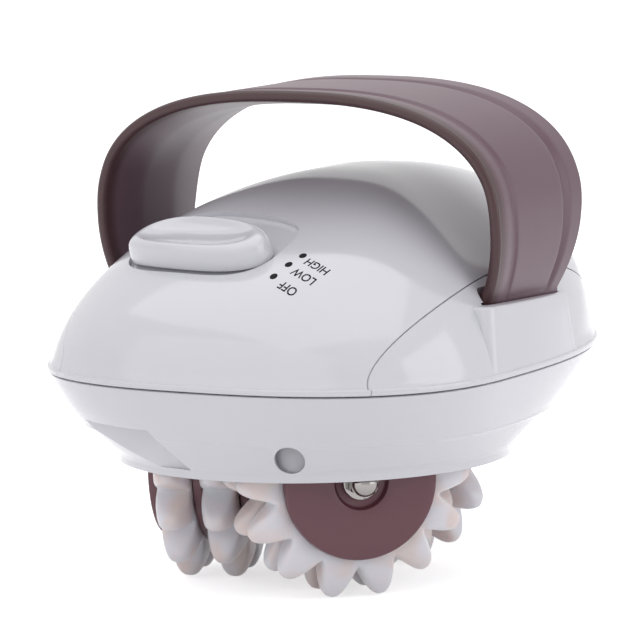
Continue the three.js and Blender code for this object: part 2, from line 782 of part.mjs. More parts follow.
function lowerHousing() {
  const outside = bowlOutside();
  const aboveParting = block(
    [-bodyWidth, -bodyWidth, partingHeight], [bodyWidth, bodyWidth, wellTop + overrun]);
  let body = outside.subtract(bowlHollow());
  const tube = cylinder(wellRadius + wellWall, lipHeight, wellTop, wellAxisX, 0, wellFacets);
  body = body.add(tube.subtract(tube.subtract(flattened(tube)).intersect(aboveParting)));
  const headroom = cylinder(bodyWidth, partingHeight - rimInset, wellTop, wellAxisX, 0, smallFacets);
  const inside = outside.add(headroom);
  for (const heading of plateScrewHeadings) {
    const post = radial(cylinder(postRadius, lipHeight, wellTop, postRing, 0, smallFacets), heading);
    body = body.add(post.intersect(inside));
  }
  for (const side of [-1, 1]) {
    const post = caseScrewAxis(side, postRadius, lipHeight, partingHeight, smallFacets);
    body = body.add(post.intersect(outside));
  }
  const recessHeight = lipHeight + recessRise;
  const skinReach = lipRadius + recessDepth;
  const boss = reachCylinder(
    recessRadius + shellWall, wellRadius + wellWall / 2, skinReach, recessHeight, smallFacets);
  body = body.add(radial(boss, recessHeading).intersect(outside));
  body = body.add(notchPrism(shellWall).intersect(outside)).subtract(notchPrism(0));
  const recess = reachCylinder(
    recessRadius, wellRadius + wellWall, skinReach + overrun, recessHeight, smallFacets + smallFacets);
  body = body.subtract(radial(recess, recessHeading));
  body = body.subtract(cylinder(
    wellRadius, lipHeight - overrun, wellTop + overrun, wellAxisX, 0, wellFacets));
  for (const heading of plateScrewHeadings) {
    const hole = cylinder(
      screwRadius + seatGap, wellTop - screwLength, wellTop + overrun, postRing, 0, holeFacets);
    body = body.subtract(radial(hole, heading));
  }
  for (const side of [-1, 1]) {
    const shelf = partingHeight - caseScrewSink;
    const hole = caseScrewAxis(
      side, screwRadius + seatGap, lipHeight, partingHeight + overrun, holeFacets);
    body = body.subtract(hole);
    body = body.subtract(caseScrewAxis(
      side, screwHeadRadius + seatGap, lipHeight, shelf, smallFacets));
  }
  return body;
}

// Screws with a pan head, their axis up along Z

function screw(foot, length, headDown) {
  const shape = [
    [0, 0], [screwHeadRadius - screwRadius / 2, 0], [screwHeadRadius, screwHeadHeight],
    [screwRadius, screwHeadHeight], [screwRadius, screwHeadHeight + length - screwRadius],
    [0, screwHeadHeight + length],
  ];
  const solid = lathe(shape, holeFacets);
  const upright = headDown ? solid : solid.rotate([180, 0, 0]);
  return upright.translate([0, 0, foot]);
}

// Power jack at the rear, seen along -X

// Where the dome, thinner by an inset, lies on the rear middle line at a rise over the shell's foot
function rearFace(rise, inset) {
  const [inner, outer] = domePowerShares.rear;
  const heightShare = rise / (domeRise - (inset - flangeLip));
  const share = (1 - heightShare ** outer) ** (1 / inner);
  return domeTopX + share * (widestX + rearReach - inset - domeTopX);
}

function jackCylinder(radius, from, to, facets) {
  const geometry = new THREE.CylinderGeometry(radius, radius, to - from, facets);
  geometry.rotateZ(Math.PI / 2);
  const face = rearFace(jackRise + jackRadius, flangeLip) - jackFaceInset;
  geometry.translate(face + (from + to) / 2, 0, shellFoot + jackRise);
  return toSolid(geometry);
}

function powerJack() {
  const face = rearFace(jackRise + jackRadius, flangeLip) - jackFaceInset;
  const wall = rearFace(jackRise + jackFlangeRadius, flangeLip + shellWall);
  const flangeFace = wall - jackFlangeGap - face;
  const body = jackCylinder(jackRadius, -jackLength, 0, smallFacets)
    .add(jackCylinder(jackFlangeRadius, flangeFace - jackFlangeThickness, flangeFace, smallFacets))
    .subtract(jackCylinder(jackBore, -jackDepth, overrun, smallFacets));
  return body.add(jackCylinder(
    jackPinRadius, -jackDepth - jackPinRadius, -jackPinRadius, holeFacets));
}

// Gears

function gearShape(module, teeth, bore, phase) {
  const pitchRadius = module * teeth / 2;
  const root = pitchRadius - module * dedendumShare;
  const tip = pitchRadius + module * addendumShare;
  const pitch = fullTurn / teeth;
  const corners = [
    [-toothHalfShares.root, root], [-toothHalfShares.tip, tip], [toothHalfShares.tip, tip],
    [toothHalfShares.root, root],
  ];
  const points = [];
  for (let tooth = 0; tooth < teeth; tooth += 1) {
    for (const [share, radius] of corners) {
      const angle = pitch * (tooth + share) + phase;
      points.push(new THREE.Vector2(radius * Math.cos(angle), radius * Math.sin(angle)));
    }
  }
  const shape = new THREE.Shape(points);
  const hole = new THREE.Path();
  hole.absarc(0, 0, bore, 0, fullTurn, true);
  shape.holes.push(hole);
  return shape;
}

// Worm: a ring of points whose radius steps one place round at each station, so the thread winds on
function wormSolid() {
  const stations = wormTurns * wormThreadSteps;
  const bore = motorShaftRadius + seatGap;
  const ring = (station, radiusAt) => Array.from({ length: wormThreadSteps }, (_, i) => {
    const angle = fullTurn * i / wormThreadSteps;
    const radius = radiusAt(i);
    const along = wormLength * (station / stations - 1 / 2);
    return new THREE.Vector3(along, radius * Math.cos(angle), radius * Math.sin(angle));
  });
  const outside = Array.from({ length: stations + 1 }, (_, station) => ring(station, (i) => {
    const fromMiddle = station - stations / 2;
    const wave = (1 + Math.cos(fullTurn * (i - fromMiddle) / wormThreadSteps)) / 2;
    return wormRootRadius + (wormTipRadius - wormRootRadius) * wave;
  }));
  const inside = [ring(stations, () => bore), ring(0, () => bore)];
  return skin([...outside, ...inside]);
}

// Roller pieces in their own frame: the axle along +X from the turret axis, at the axle's height

const alongAxle = (solid) => solid.rotate([0, 90, 0]);

// Toothed ring: a loop of points across the ring at each edge of each tooth
function toothedRing() {
  const half = ringWidth / 2;
  const tip = toothTipWidth / 2;
  const bore = ringSeatRadius + seatGap;
  const loops = [];
  for (let tooth = 0; tooth < toothCount; tooth += 1) {
    for (const [share, high] of [[-1, false], [-toothTipShare, true], [toothTipShare, true]]) {
      const angle = toothPitch * (tooth + (1 + share) / 2);
      const top = high ? rollerTipRadius : rollerRootRadius;
      const shoulder = high ? rollerRootRadius + toothShoulder : rollerRootRadius - toothShoulder;
      const topHalf = high ? tip : half - toothShoulder;
      const loop = [
        [bore, -half], [shoulder, -half], [top, -topHalf], [top, topHalf], [shoulder, half], [bore, half],
      ];
      loops.push(loop.map(([radius, x]) =>
        new THREE.Vector3(x, radius * Math.sin(angle), -radius * Math.cos(angle))));
    }
  }
  return skin(loops);
}

function rollerHub() {
  const bore = axleRadius + runningGap;
  const spacerFoot = innerRingFoot + ringWidth + seatGap / 2;
  const spacerTop = outerRingFoot - seatGap / 2;
  return alongAxle(lathe([
    [bore, hubFoot], [capRadius - capRound, hubFoot], [capRadius, hubFoot + capRound],
    [capRadius, hubFoot + capThickness], [ringSeatRadius, hubFoot + capThickness],
    [ringSeatRadius, spacerFoot], [spacerRadius, spacerFoot], [spacerRadius, spacerTop],
    [ringSeatRadius, spacerTop],
    [ringSeatRadius, capFoot - seatGap], [bore, capFoot - seatGap], [bore, hubFoot],
  ], roundFacets));
}

function rollerCap() {
  const bore = axleRadius + runningGap;
  const face = capFaceReach;
  return alongAxle(lathe([
    [bore, capFoot], [capRadius, capFoot], [capRadius, face - capRound], [capRadius - capRound, face],
    [capRecessRadius, face], [capRecessRadius, face - capRecessDepth], [bore, face - capRecessDepth],
    [bore, capFoot],
  ], roundFacets));
}

function axle() {
  const chamfer = axleRadius / 5;
  const end = nutFoot + nutHexHeight;
  return alongAxle(lathe([
    [0, axleInnerReach], [axleRadius, axleInnerReach], [axleRadius, end - chamfer],
    [axleRadius - chamfer, end], [0, end],
  ], smallFacets));
}

function washer() {
  const bore = axleRadius + seatGap;
  const top = washerFoot + washerThickness;
  return alongAxle(lathe([
    [bore, washerFoot], [washerRadius, washerFoot], [washerRadius, top], [bore, top], [bore, washerFoot],
  ], smallFacets));
}

// Domed nut: a hexagon under a round cap, with a blind bore for the axle's end
function domeNut() {
  const hexTop = nutFoot + nutHexHeight;
  const rim = nutRadius * Math.cos(Math.PI / 6);
  const hexagon = lathe([[0, nutFoot], [nutRadius, nutFoot], [nutRadius, hexTop], [0, hexTop]], hexSides);
  const arc = Array.from({ length: nutDomeSteps }, (_, k) => Math.PI / 2 * k / nutDomeSteps);
  const dome = lathe([
    [0, nutFoot], [rim, nutFoot],
    ...arc.map((angle) => [rim * Math.cos(angle), hexTop + nutDomeHeight * Math.sin(angle)]),
    [0, hexTop + nutDomeHeight],
  ], smallFacets);
  const bore = cylinder(axleRadius + seatGap / 2, nutFoot - overrun, hexTop + seatGap, 0, 0, smallFacets);
  return alongAxle(hexagon.add(dome).subtract(bore));
}

// Carrier: the disc over the rollers and the hub between them

function carrier() {
  const hubFootHeight = axleHeight - hubBelowAxle;
  let body = cylinder(carrierRadius, carrierFoot, carrierTop, wellAxisX, 0, wellFacets)
    .add(cylinder(hubRadius, hubFootHeight, carrierTop, wellAxisX, 0, roundFacets));
  for (let k = 0; k < rollerCount; k += 1) {
    const heading = rollerHeading + 360 * k / rollerCount;
    const bore = reachCylinder(
      axleRadius + seatGap, axleInnerReach - seatGap, hubRadius + overrun, axleHeight, smallFacets);
    body = body.subtract(radial(bore, heading));
  }
  return body.subtract(cylinder(
    shaftRadius + seatGap, carrierTop - shaftSeatDepth, carrierTop + overrun, wellAxisX, 0, smallFacets));
}

// Mounting plate with ears on the posts, a hole for the bush and the cradle under the motor

function mountingPlate() {
  let plate = flattened(cylinder(wellRadius + wellWall, plateFoot, plateTop, wellAxisX, 0, wellFacets));
  for (const heading of plateScrewHeadings) {
    const arm = block([wellRadius, -postRadius, plateFoot], [postRing, postRadius, plateTop]);
    plate = plate.add(radial(
      cylinder(postRadius, plateFoot, plateTop, postRing, 0, smallFacets).add(arm), heading));
  }
  const cradleHalf = motorRadius + cradleWall;
  const cradleStart = motorFaceX + (motorLength - cradleLength) / 2;
  plate = plate.add(block(
    [cradleStart, motorY - cradleHalf, plateFoot],
    [cradleStart + cradleLength, motorY + cradleHalf, motorAxisHeight]));
  const bed = new THREE.CylinderGeometry(
    motorRadius + seatGap, motorRadius + seatGap, motorLength + overrun, roundFacets);
  bed.rotateZ(Math.PI / 2);
  bed.translate(motorFaceX + motorLength / 2, motorY, motorAxisHeight);
  plate = plate.subtract(toSolid(bed));
  plate = plate.add(cylinder(
    pinRadius + cradleWall / 2, plateFoot, gearFoot - seatGap, compoundX, compoundY, smallFacets));
  for (const heading of plateScrewHeadings) {
    const hole = cylinder(
      screwRadius + seatGap, plateFoot - overrun, plateTop + overrun, postRing, 0, holeFacets);
    const headRoom = cylinder(
      screwHeadRadius + seatGap, plateTop, plateTop + overrun, postRing, 0, smallFacets);
    plate = plate.subtract(radial(hole.add(headRoom), heading));
  }
  plate = plate.subtract(cylinder(
    bushRadius + seatGap, plateFoot - overrun, plateTop + overrun, wellAxisX, 0, roundFacets));
  return plate.subtract(cylinder(
    pinRadius + seatGap, plateFoot - overrun, plateTop + overrun, compoundX, compoundY, smallFacets));
}

function bearingBush() {
  const bore = shaftRadius + runningGap;
  const seat = plateTop + seatGap;
  return lathe([
    [bore, plateFoot], [bushRadius, plateFoot], [bushRadius, seat], [bushFlangeRadius, seat],
    [bushFlangeRadius, seat + bushFlangeThickness], [bore, seat + bushFlangeThickness], [bore, plateFoot],
  ], roundFacets).translate([wellAxisX, 0, 0]);
}

function compoundGear() {
  const bore = pinRadius + runningGap;
  const pinionShape = gearShape(gearModule, pinionTeeth, bore, Math.PI + Math.PI / pinionTeeth);
  const pinion = extruded(pinionShape, gearFoot, wheelFoot);
  const wheelShape = gearShape(wheelModule, wheelTeeth, bore, Math.PI / 2);
  const wheel = extruded(wheelShape, wheelFoot, wheelFoot + wheelWidth);
  const bottom = pinion.rotate([0, 0, compoundHeading]);
  return bottom.add(wheel).translate([compoundX, compoundY, 0]);
}

function compoundPin() {
  const top = wheelFoot + wheelWidth + gearLift;
  return cylinder(pinRadius, plateFoot, top, compoundX, compoundY, smallFacets);
}

function motor() {
  const profile = [
    [0, -motorNoseLength], [motorNoseRadius, -motorNoseLength], [motorNoseRadius, 0],
    [motorRadius, 0], [motorRadius, motorLength], [motorNoseRadius, motorLength],
    [motorNoseRadius, motorLength + motorNoseLength], [0, motorLength + motorNoseLength],
  ];
  const housing = lathe(profile, roundFacets);
  const bore = cylinder(motorShaftRadius + seatGap, -overrun, motorLength / 2, 0, 0, smallFacets);
  return alongAxle(housing.subtract(bore)).translate([motorFaceX, motorY, motorAxisHeight]);
}

function motorShaft() {
  const start = compoundX - wormLength / 2 - motorShaftRadius;
  const end = motorFaceX + motorLength / 2 - seatGap;
  const shaft = new THREE.CylinderGeometry(motorShaftRadius, motorShaftRadius, end - start, smallFacets);
  shaft.rotateZ(Math.PI / 2);
  shaft.translate((start + end) / 2, motorY, motorAxisHeight);
  return toSolid(shaft);
}

// Clamp: a half ring over the motor with a foot on each shoulder of the cradle
function motorClamp() {
  const inner = motorRadius + seatGap;
  const outer = inner + clampThickness;
  const foot = seatGap;
  const shoulder = foot + clampThickness;
  const outerStart = Math.asin(shoulder / outer);
  const innerStart = Math.asin(foot / inner);
  const half = motorRadius + cradleWall;
  const shape = new THREE.Shape();
  shape.moveTo(half, foot);
  shape.lineTo(half, shoulder);
  shape.absarc(0, 0, outer, outerStart, Math.PI - outerStart);
  shape.lineTo(-half, shoulder);
  shape.lineTo(-half, foot);
  shape.absarc(0, 0, inner, Math.PI - innerStart, innerStart, true);
  const geometry = new THREE.ExtrudeGeometry(
    shape, { depth: clampLength, bevelEnabled: false, curveSegments: roundFacets / 2 });
  geometry.rotateX(Math.PI / 2);
  geometry.rotateZ(Math.PI / 2);
  geometry.translate(motorFaceX + (motorLength - clampLength) / 2, motorY, motorAxisHeight);
  return toSolid(geometry);
}

// Switch knob: an oval that follows the dome, with a thumb dish, a curved underside and a stem

// Rings of the knob above the dome: a share of the oval's size, then how far the ring lies under the
// rim, as a share of the edge's height and a share of the dish's depth
const knobRingShares = [[0.98, 1, 0], [0.93, 0.3, 0], [0.84, 0, 0], [0.66, 0, 0.35], [0.42, 0, 0.8]];
const undersideShares = [0, 0.5, 1];
const knobHeights = [
  [1, -knobSkirt], [1, 0],
  ...knobRingShares.map(([size, edge, dish]) => [size, knobRise - edge * knobEdge - dish * knobDish]),
];

function switchKnob() {
  const facets = bodyFacets / 2;
  const rings = knobHeights.map(([share, height]) => Array.from({ length: facets }, (_, i) => {
    const angle = fullTurn * i / facets;
    const [c, s] = [Math.cos(angle), Math.sin(angle)];
    const along = share * knobWidth / 2 * Math.sign(c) * Math.abs(c) ** (2 / knobPower);
    const across = share * knobLength / 2 * Math.sign(s) * Math.abs(s) ** (2 / knobPower);
    return new THREE.Vector3(along, across, height + sagAt(along, across));
  }));
  const body = skin(
    rings, new THREE.Vector3(0, 0, -knobSkirt), new THREE.Vector3(0, 0, knobRise - knobDish));
  const stemFoot = -(trackDepth + trackFloor + stemLength / 2);
  const stem = block(
    [-stemThickness / 2, -stemWidth / 2, stemFoot], [stemThickness / 2, stemWidth / 2, knobRise / 3]);
  const floor = domeSolid(flangeLip + trackDepth - knobFloat);
  const underside = undersideShares
    .map((share) => floor.translate(alongTravel.clone().multiplyScalar(-share * knobTravel).toArray()))
    .reduce((joined, solid) => joined.add(solid));
  return inSwitch(body).subtract(underside).add(inSwitch(stem));
}

const leverTop = -(trackDepth + trackFloor + stemLength / 2 + seatGap);
const switchTop = -(trackDepth + trackFloor + stemLength);
const switchFoot = switchTop - switchHeight;

function switchLever() {
  return inSwitch(block(
    [-leverLength / 2, -leverWidth / 2, switchTop - leverSink],
    [leverLength / 2, leverWidth / 2, leverTop]));
}

function switchBody() {
  const middle = knobTravel / 2;
  const box = block(
    [middle - switchLength / 2, -switchWidth / 2, switchFoot],
    [middle + switchLength / 2, switchWidth / 2, switchTop]);
  const slot = block(
    [-leverLength / 2 - runningGap, -leverWidth / 2 - runningGap, switchTop - leverSink - runningGap],
    [leverLength / 2 + runningGap + knobTravel, leverWidth / 2 + runningGap, overrun]);
  return inSwitch(box.subtract(slot));
}

function switchBoard() {
  const middle = knobTravel / 2;
  let board = block(
    [middle - boardLength / 2, -boardWidth / 2, boardFoot],
    [middle + boardLength / 2, boardWidth / 2, boardFoot + boardThickness]);
  for (const { along, across } of boardPlaces) {
    board = board.subtract(cylinder(
      screwRadius + seatGap, boardFoot - overrun, boardFoot + overrun, along, across, holeFacets));
  }
  return inSwitch(board);
}

// The pieces, each under its own name

const give = (name, solid, material) => put(name, toGeometry(solid), material);

give('top_shell', topShell(), white);
give('lower_housing', lowerHousing(), white);
give('side_panel_near', sidePanel(-1), white);
give('side_panel_far', sidePanel(1), white);

let strap = strapSolid(0);
for (const side of [-1, 1]) {
  strap = strap.subtract(strapPin(side, strapPinRadius + seatGap, strapPinLength, holeFacets));
}
give('strap', strap, mauveRubber);
give('strap_pin_near', strapPin(-1, strapPinRadius, strapPinLength, holeFacets), steel);
give('strap_pin_far', strapPin(1, strapPinRadius, strapPinLength, holeFacets), steel);

give('switch_knob', switchKnob(), white);
give('switch_lever', switchLever(), black);
give('switch_body', switchBody(), black);
give('circuit_board', switchBoard(), boardGreen);
boardPlaces.forEach(({ along, across }, k) => {
  const piece = screw(boardFoot - seatGap - screwHeadHeight, boardScrewLength, true)
    .translate([along, across, 0]);
  give(`board_screw_${k + 1}`, inSwitch(piece), steel);
});

give('mounting_plate', mountingPlate(), nylon);
plateScrewHeadings.forEach((heading, k) => {
  const piece = screw(plateTop + seatGap + screwHeadHeight, screwLength, false)
    .translate([postRing, 0, 0]);
  give(`plate_screw_${k + 1}`, radial(piece, heading), steel);
});
[-1, 1].forEach((side) => {
  const foot = partingHeight - caseScrewSink - seatGap - screwHeadHeight;
  const piece = screw(foot, screwLength + caseScrewSink, true)
    .translate([caseScrewX, side * caseScrewY, 0]);
  give(side < 0 ? 'case_screw_near' : 'case_screw_far', piece, steel);
});
give('power_jack', powerJack(), black);

give('bearing_bush', bearingBush(), brass);
const shaftFoot = carrierTop - shaftSeatDepth + seatGap;
give('output_shaft', cylinder(
  shaftRadius, shaftFoot, gearTop + gearLift / 2, wellAxisX, 0, smallFacets), steel);
const outputShape = gearShape(
  gearModule, outputTeeth, shaftRadius + seatGap, degrees(compoundHeading));
give('output_gear', extruded(outputShape, gearFoot, gearTop).translate([wellAxisX, 0, 0]), nylon);
give('compound_gear', compoundGear(), nylon);
give('compound_pin', compoundPin(), steel);
give('worm', wormSolid().translate([compoundX, motorY, motorAxisHeight]), brass);
give('motor_shaft', motorShaft(), steel);
give('motor', motor(), steel);
give('motor_clamp', motorClamp(), steel);

give('roller_carrier', carrier(), mauvePlastic);
for (let k = 0; k < rollerCount; k += 1) {
  const heading = degrees(rollerHeading) + fullTurn * k / rollerCount;
  const place = moved(wellAxisX, 0, axleHeight).multiply(turnedZ(heading));
  const label = `roller_${k + 1}`;
  const outerPlace = place.clone().multiply(moved(outerRingFoot + ringWidth / 2, 0, 0));
  const innerPlace = place.clone().multiply(moved(innerRingFoot + ringWidth / 2, 0, 0));
  put(`${label}_hub`, toGeometry(rollerHub()), mauvePlastic, place);
  put(`${label}_outer_ring`, toGeometry(toothedRing()), ivory, outerPlace);
  put(`${label}_inner_ring`, toGeometry(toothedRing()), ivory, innerPlace);
  put(`${label}_cap`, toGeometry(rollerCap()), mauvePlastic, place);
  put(`${label}_axle`, toGeometry(axle()), steel, place);
  put(`${label}_washer`, toGeometry(washer()), steel, place);
  put(`${label}_nut`, toGeometry(domeNut()), steel, place);
}

export default massager;
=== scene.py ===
# %% [markdown]
# # A handheld roller massager
# An egg-shaped body stands on three toothed rollers. A soft strap holds it on the hand, and an oval
# switch slides under the thumb. The construction model gives places and sizes, and this dresses it.

# %% Load the frame
import itertools
import json
import math

import bmesh
import bpy
import numpy as np
from mathutils import Matrix, Vector


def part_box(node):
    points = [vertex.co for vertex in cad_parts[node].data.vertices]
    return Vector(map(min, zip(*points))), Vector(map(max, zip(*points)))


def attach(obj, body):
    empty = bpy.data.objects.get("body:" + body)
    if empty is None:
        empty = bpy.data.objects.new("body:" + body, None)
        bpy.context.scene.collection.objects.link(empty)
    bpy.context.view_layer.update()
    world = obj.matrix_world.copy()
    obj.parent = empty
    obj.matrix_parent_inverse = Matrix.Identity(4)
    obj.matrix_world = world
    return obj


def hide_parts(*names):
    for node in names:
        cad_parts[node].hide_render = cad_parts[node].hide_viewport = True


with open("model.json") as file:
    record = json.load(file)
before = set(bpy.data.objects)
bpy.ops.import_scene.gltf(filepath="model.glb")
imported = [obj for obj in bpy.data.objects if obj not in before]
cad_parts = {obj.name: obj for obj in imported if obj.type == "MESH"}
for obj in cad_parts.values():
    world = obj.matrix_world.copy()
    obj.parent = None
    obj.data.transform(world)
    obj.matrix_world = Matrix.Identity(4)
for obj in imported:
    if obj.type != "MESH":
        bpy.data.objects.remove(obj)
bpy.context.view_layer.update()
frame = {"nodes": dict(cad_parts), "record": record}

MM = 0.001
TURN = 2 * math.pi
print("pieces in the frame:", len(frame["nodes"]))

# %% [markdown]
# ## Pieces from points
# Shells, straps and buttons are closed surfaces. They could be modelled from a cube by hand, but this
# product follows rules, so its points are worked out in millimetres. Faces are turned outwards, which
# Blender needs for cutting and for shading.

# %% Make a piece from points and faces


def face_outwards(mesh):
    work = bmesh.new()
    work.from_mesh(mesh)
    if work.calc_volume(signed=True) < 0:
        bmesh.ops.reverse_faces(work, faces=work.faces)
    work.to_mesh(mesh)
    work.free()


def link_piece(name, mesh):
    piece = bpy.data.objects.new(name, mesh)
    bpy.context.scene.collection.objects.link(piece)
    return piece


def make_piece(name, points, faces):
    mesh = bpy.data.meshes.new(name)
    mesh.from_pydata((np.asarray(points) * MM).tolist(), [], faces)
    face_outwards(mesh)
    return link_piece(name, mesh)


# %% [markdown]
# Most pieces are skins over rings of points, as a boat's planks lie over its frames. A skin closes
# on itself, like a tyre, or has a pole at each end.

# %% Lay a skin over rings


def angles(count):
    return np.arange(count) * TURN / count


def at_height(x, y, height):
    return np.column_stack([x, y, np.full(len(x), height)])


def unit(vector):
    return vector / np.linalg.norm(vector)


def skin(name, rings, poles=None):
    rings = np.asarray(rings, float)
    count, around = rings.shape[:2]
    points = rings.reshape(-1, 3)
    here = np.arange(around)
    following = (here + 1) % around
    faces = []
    for row in range(count - 1 if poles is not None else count):
        low = row * around
        high = (row + 1) % count * around
        faces += np.stack([low + here, low + following, high + following, high + here], 1).tolist()
    if poles is not None:
        points = np.vstack([points, poles])
        first, last_row = count * around, (count - 1) * around
        pairs = list(zip(here.tolist(), following.tolist()))
        faces += [[first, b, a] for a, b in pairs]
        faces += [[first + 1, last_row + a, last_row + b] for a, b in pairs]
    return make_piece(name, points, faces)


def capped_skin(name, rings):
    return skin(name, rings, [rings[0].mean(0), rings[-1].mean(0)])


# %% [markdown]
# ## Cutting and joining
# Seams, tracks and sockets of a moulded part have crisp edges. A Boolean modifier, which cuts or joins
# two closed meshes, gives just that. Its result becomes the piece's own mesh at once.

# %% Cut and join


def shown_mesh(piece):
    """The mesh that Blender shows for an object, with its modifiers or its text worked out."""
    bpy.context.view_layer.update()
    shown = piece.evaluated_get(bpy.context.evaluated_depsgraph_get())
    return bpy.data.meshes.new_from_object(shown)


def settle(piece):
    mesh = shown_mesh(piece)
    piece.modifiers.clear()
    piece.data = mesh


def combine(piece, tool, operation="DIFFERENCE"):
    modifier = piece.modifiers.new("combine", "BOOLEAN")
    modifier.operation = operation
    modifier.solver = "MANIFOLD"
    modifier.object = tool
    settle(piece)
    bpy.data.objects.remove(tool)
    return piece


# %% [markdown]
# ## Finishes
# Every surface gets grain, a little variation of gloss and small differences of tone, because a real
# moulding is never even. Each material could hold its own nodes for that. One shader node group holds
# them for all instead, so the plastics, the rubber and the metals differ only in numbers.

# %% Node group: its inputs and outputs


def set_inputs(node, values):
    """Links each input that is given a socket, and sets each one that is given a value."""
    for name, value in dict(values).items():
        if isinstance(value, bpy.types.NodeSocket):
            node.id_data.links.new(value, node.inputs[name])
        else:
            node.inputs[name].default_value = value
    return node


def add_node(tree, kind, values=(), **settings):
    node = tree.nodes.new(kind)
    for name, value in settings.items():
        setattr(node, name, value)
    return set_inputs(node, values)


def add_math(tree, operation, *values):
    return add_node(tree, "ShaderNodeMath", dict(enumerate(values)), operation=operation).outputs[0]


def add_inputs(tree, rows):
    """Gives a tree its named inputs, and returns the identifier of each."""
    identifiers = {}
    for label, kind, default in rows:
        socket = tree.interface.new_socket(label, in_out="INPUT", socket_type="NodeSocket" + kind)
        if default is not None:
            socket.default_value = default
        identifiers[label] = socket.identifier
    return identifiers


surface = bpy.data.node_groups.new("Worked surface", "ShaderNodeTree")
add_inputs(surface, (
    ("Colour", "Color", (0.8, 0.8, 0.8, 1)), ("Patch colour", "Color", (0.8, 0.8, 0.8, 1)),
    ("Patch share", "Float", 0), ("Patch mask", "Float", 0), ("Tone spread", "Float", 0.04),
    ("Roughness", "Float", 0.4), ("Roughness spread", "Float", 0.06),
    ("Grain scale", "Float", 900), ("Grain depth", "Float", 0.00002),
    ("Ripple scale", "Float", 60), ("Ripple depth", "Float", 0.00001),
))
for label, kind in (("Colour", "Color"), ("Roughness", "Float"), ("Normal", "Vector")):
    surface.interface.new_socket(label, in_out="OUTPUT", socket_type="NodeSocket" + kind)
print("sockets of the group:", len(surface.interface.items_tree))

# %% [markdown]
# Four noises are laid over the piece in its own Object coordinates: grain, the ripple of a mould,
# the smear of many hands, and patches of another colour. A patch shows where its noise is high, or
# where a mask on the piece asks for it.

# %% Node group: noises, tone, gloss and relief
inputs = add_node(surface, "NodeGroupInput").outputs
place = add_node(surface, "ShaderNodeTexCoord").outputs["Object"]


def add_noise(**values):
    return add_node(surface, "ShaderNodeTexNoise", {"Vector": place, **values}).outputs["Fac"]


def add_spread(base, spread):
    swing = add_math(surface, "SUBTRACT", smear, 0.5)
    return add_math(surface, "ADD", base, add_math(surface, "MULTIPLY", swing, spread))


def add_relief(height, depth, **under):
    return add_node(surface, "ShaderNodeBump", {
        "Height": height, "Distance": depth, **under}).outputs["Normal"]


grain = add_noise(Scale=inputs["Grain scale"], Detail=2.0)
ripple = add_noise(Scale=inputs["Ripple scale"], Detail=1.0)
smear = add_noise(Scale=38.0, Detail=4.0, Roughness=0.62)
patch_noise = add_noise(Scale=110.0, Detail=1.0)
clear = add_node(surface, "ShaderNodeMapRange", {
    "Value": patch_noise, "From Min": 0.42, "From Max": 0.62}).outputs[0]
spots = add_math(surface, "MULTIPLY", clear, inputs["Patch share"])
amount = add_math(surface, "MAXIMUM", spots, inputs["Patch mask"])
tinted = add_node(surface, "ShaderNodeMix", {
    0: amount, 6: inputs["Colour"], 7: inputs["Patch colour"]}, data_type="RGBA").outputs[2]
toned = add_node(surface, "ShaderNodeHueSaturation", {
    "Color": tinted, "Value": add_spread(1.0, inputs["Tone spread"])}).outputs[0]
gloss = add_spread(inputs["Roughness"], inputs["Roughness spread"])
wave = add_relief(ripple, inputs["Ripple depth"])
pits = add_relief(grain, inputs["Grain depth"], Normal=wave)
add_node(surface, "NodeGroupOutput", {"Colour": toned, "Roughness": gloss, "Normal": pits})
print("nodes of the group:", len(surface.nodes))

# %% [markdown]
# A material places the group before the Principled shader. What never varies, such as the clear coat
# of the gloss white, is set on the shader. A mask names the attribute that says where patches show.

# %% One material for each finish
MICRON = 0.000001


def make_material(name, colour, gloss, tone, grain, ripple, patch=None, mask=None, **constants):
    material = bpy.data.materials.new(name)
    material.use_nodes = True
    tree = material.node_tree
    worked = add_node(tree, "ShaderNodeGroup", {
        "Colour": (*colour, 1), "Patch colour": (*(patch or colour), 1),
        "Patch share": float(bool(patch and not mask)), "Tone spread": tone,
        "Roughness": gloss[0], "Roughness spread": gloss[1],
        "Grain scale": grain[0], "Grain depth": grain[1] * MICRON,
        "Ripple scale": ripple[0], "Ripple depth": ripple[1] * MICRON,
    }, node_tree=surface)
    if mask:
        masked = add_node(tree, "ShaderNodeAttribute", attribute_name=mask)
        set_inputs(worked, {"Patch mask": masked.outputs["Fac"]})
    set_inputs(tree.nodes["Principled BSDF"], {
        "Base Color": worked.outputs["Colour"], "Roughness": worked.outputs["Roughness"],
        "Normal": worked.outputs["Normal"], **constants})
    material.diffuse_color = (*colour, 1)
    return material
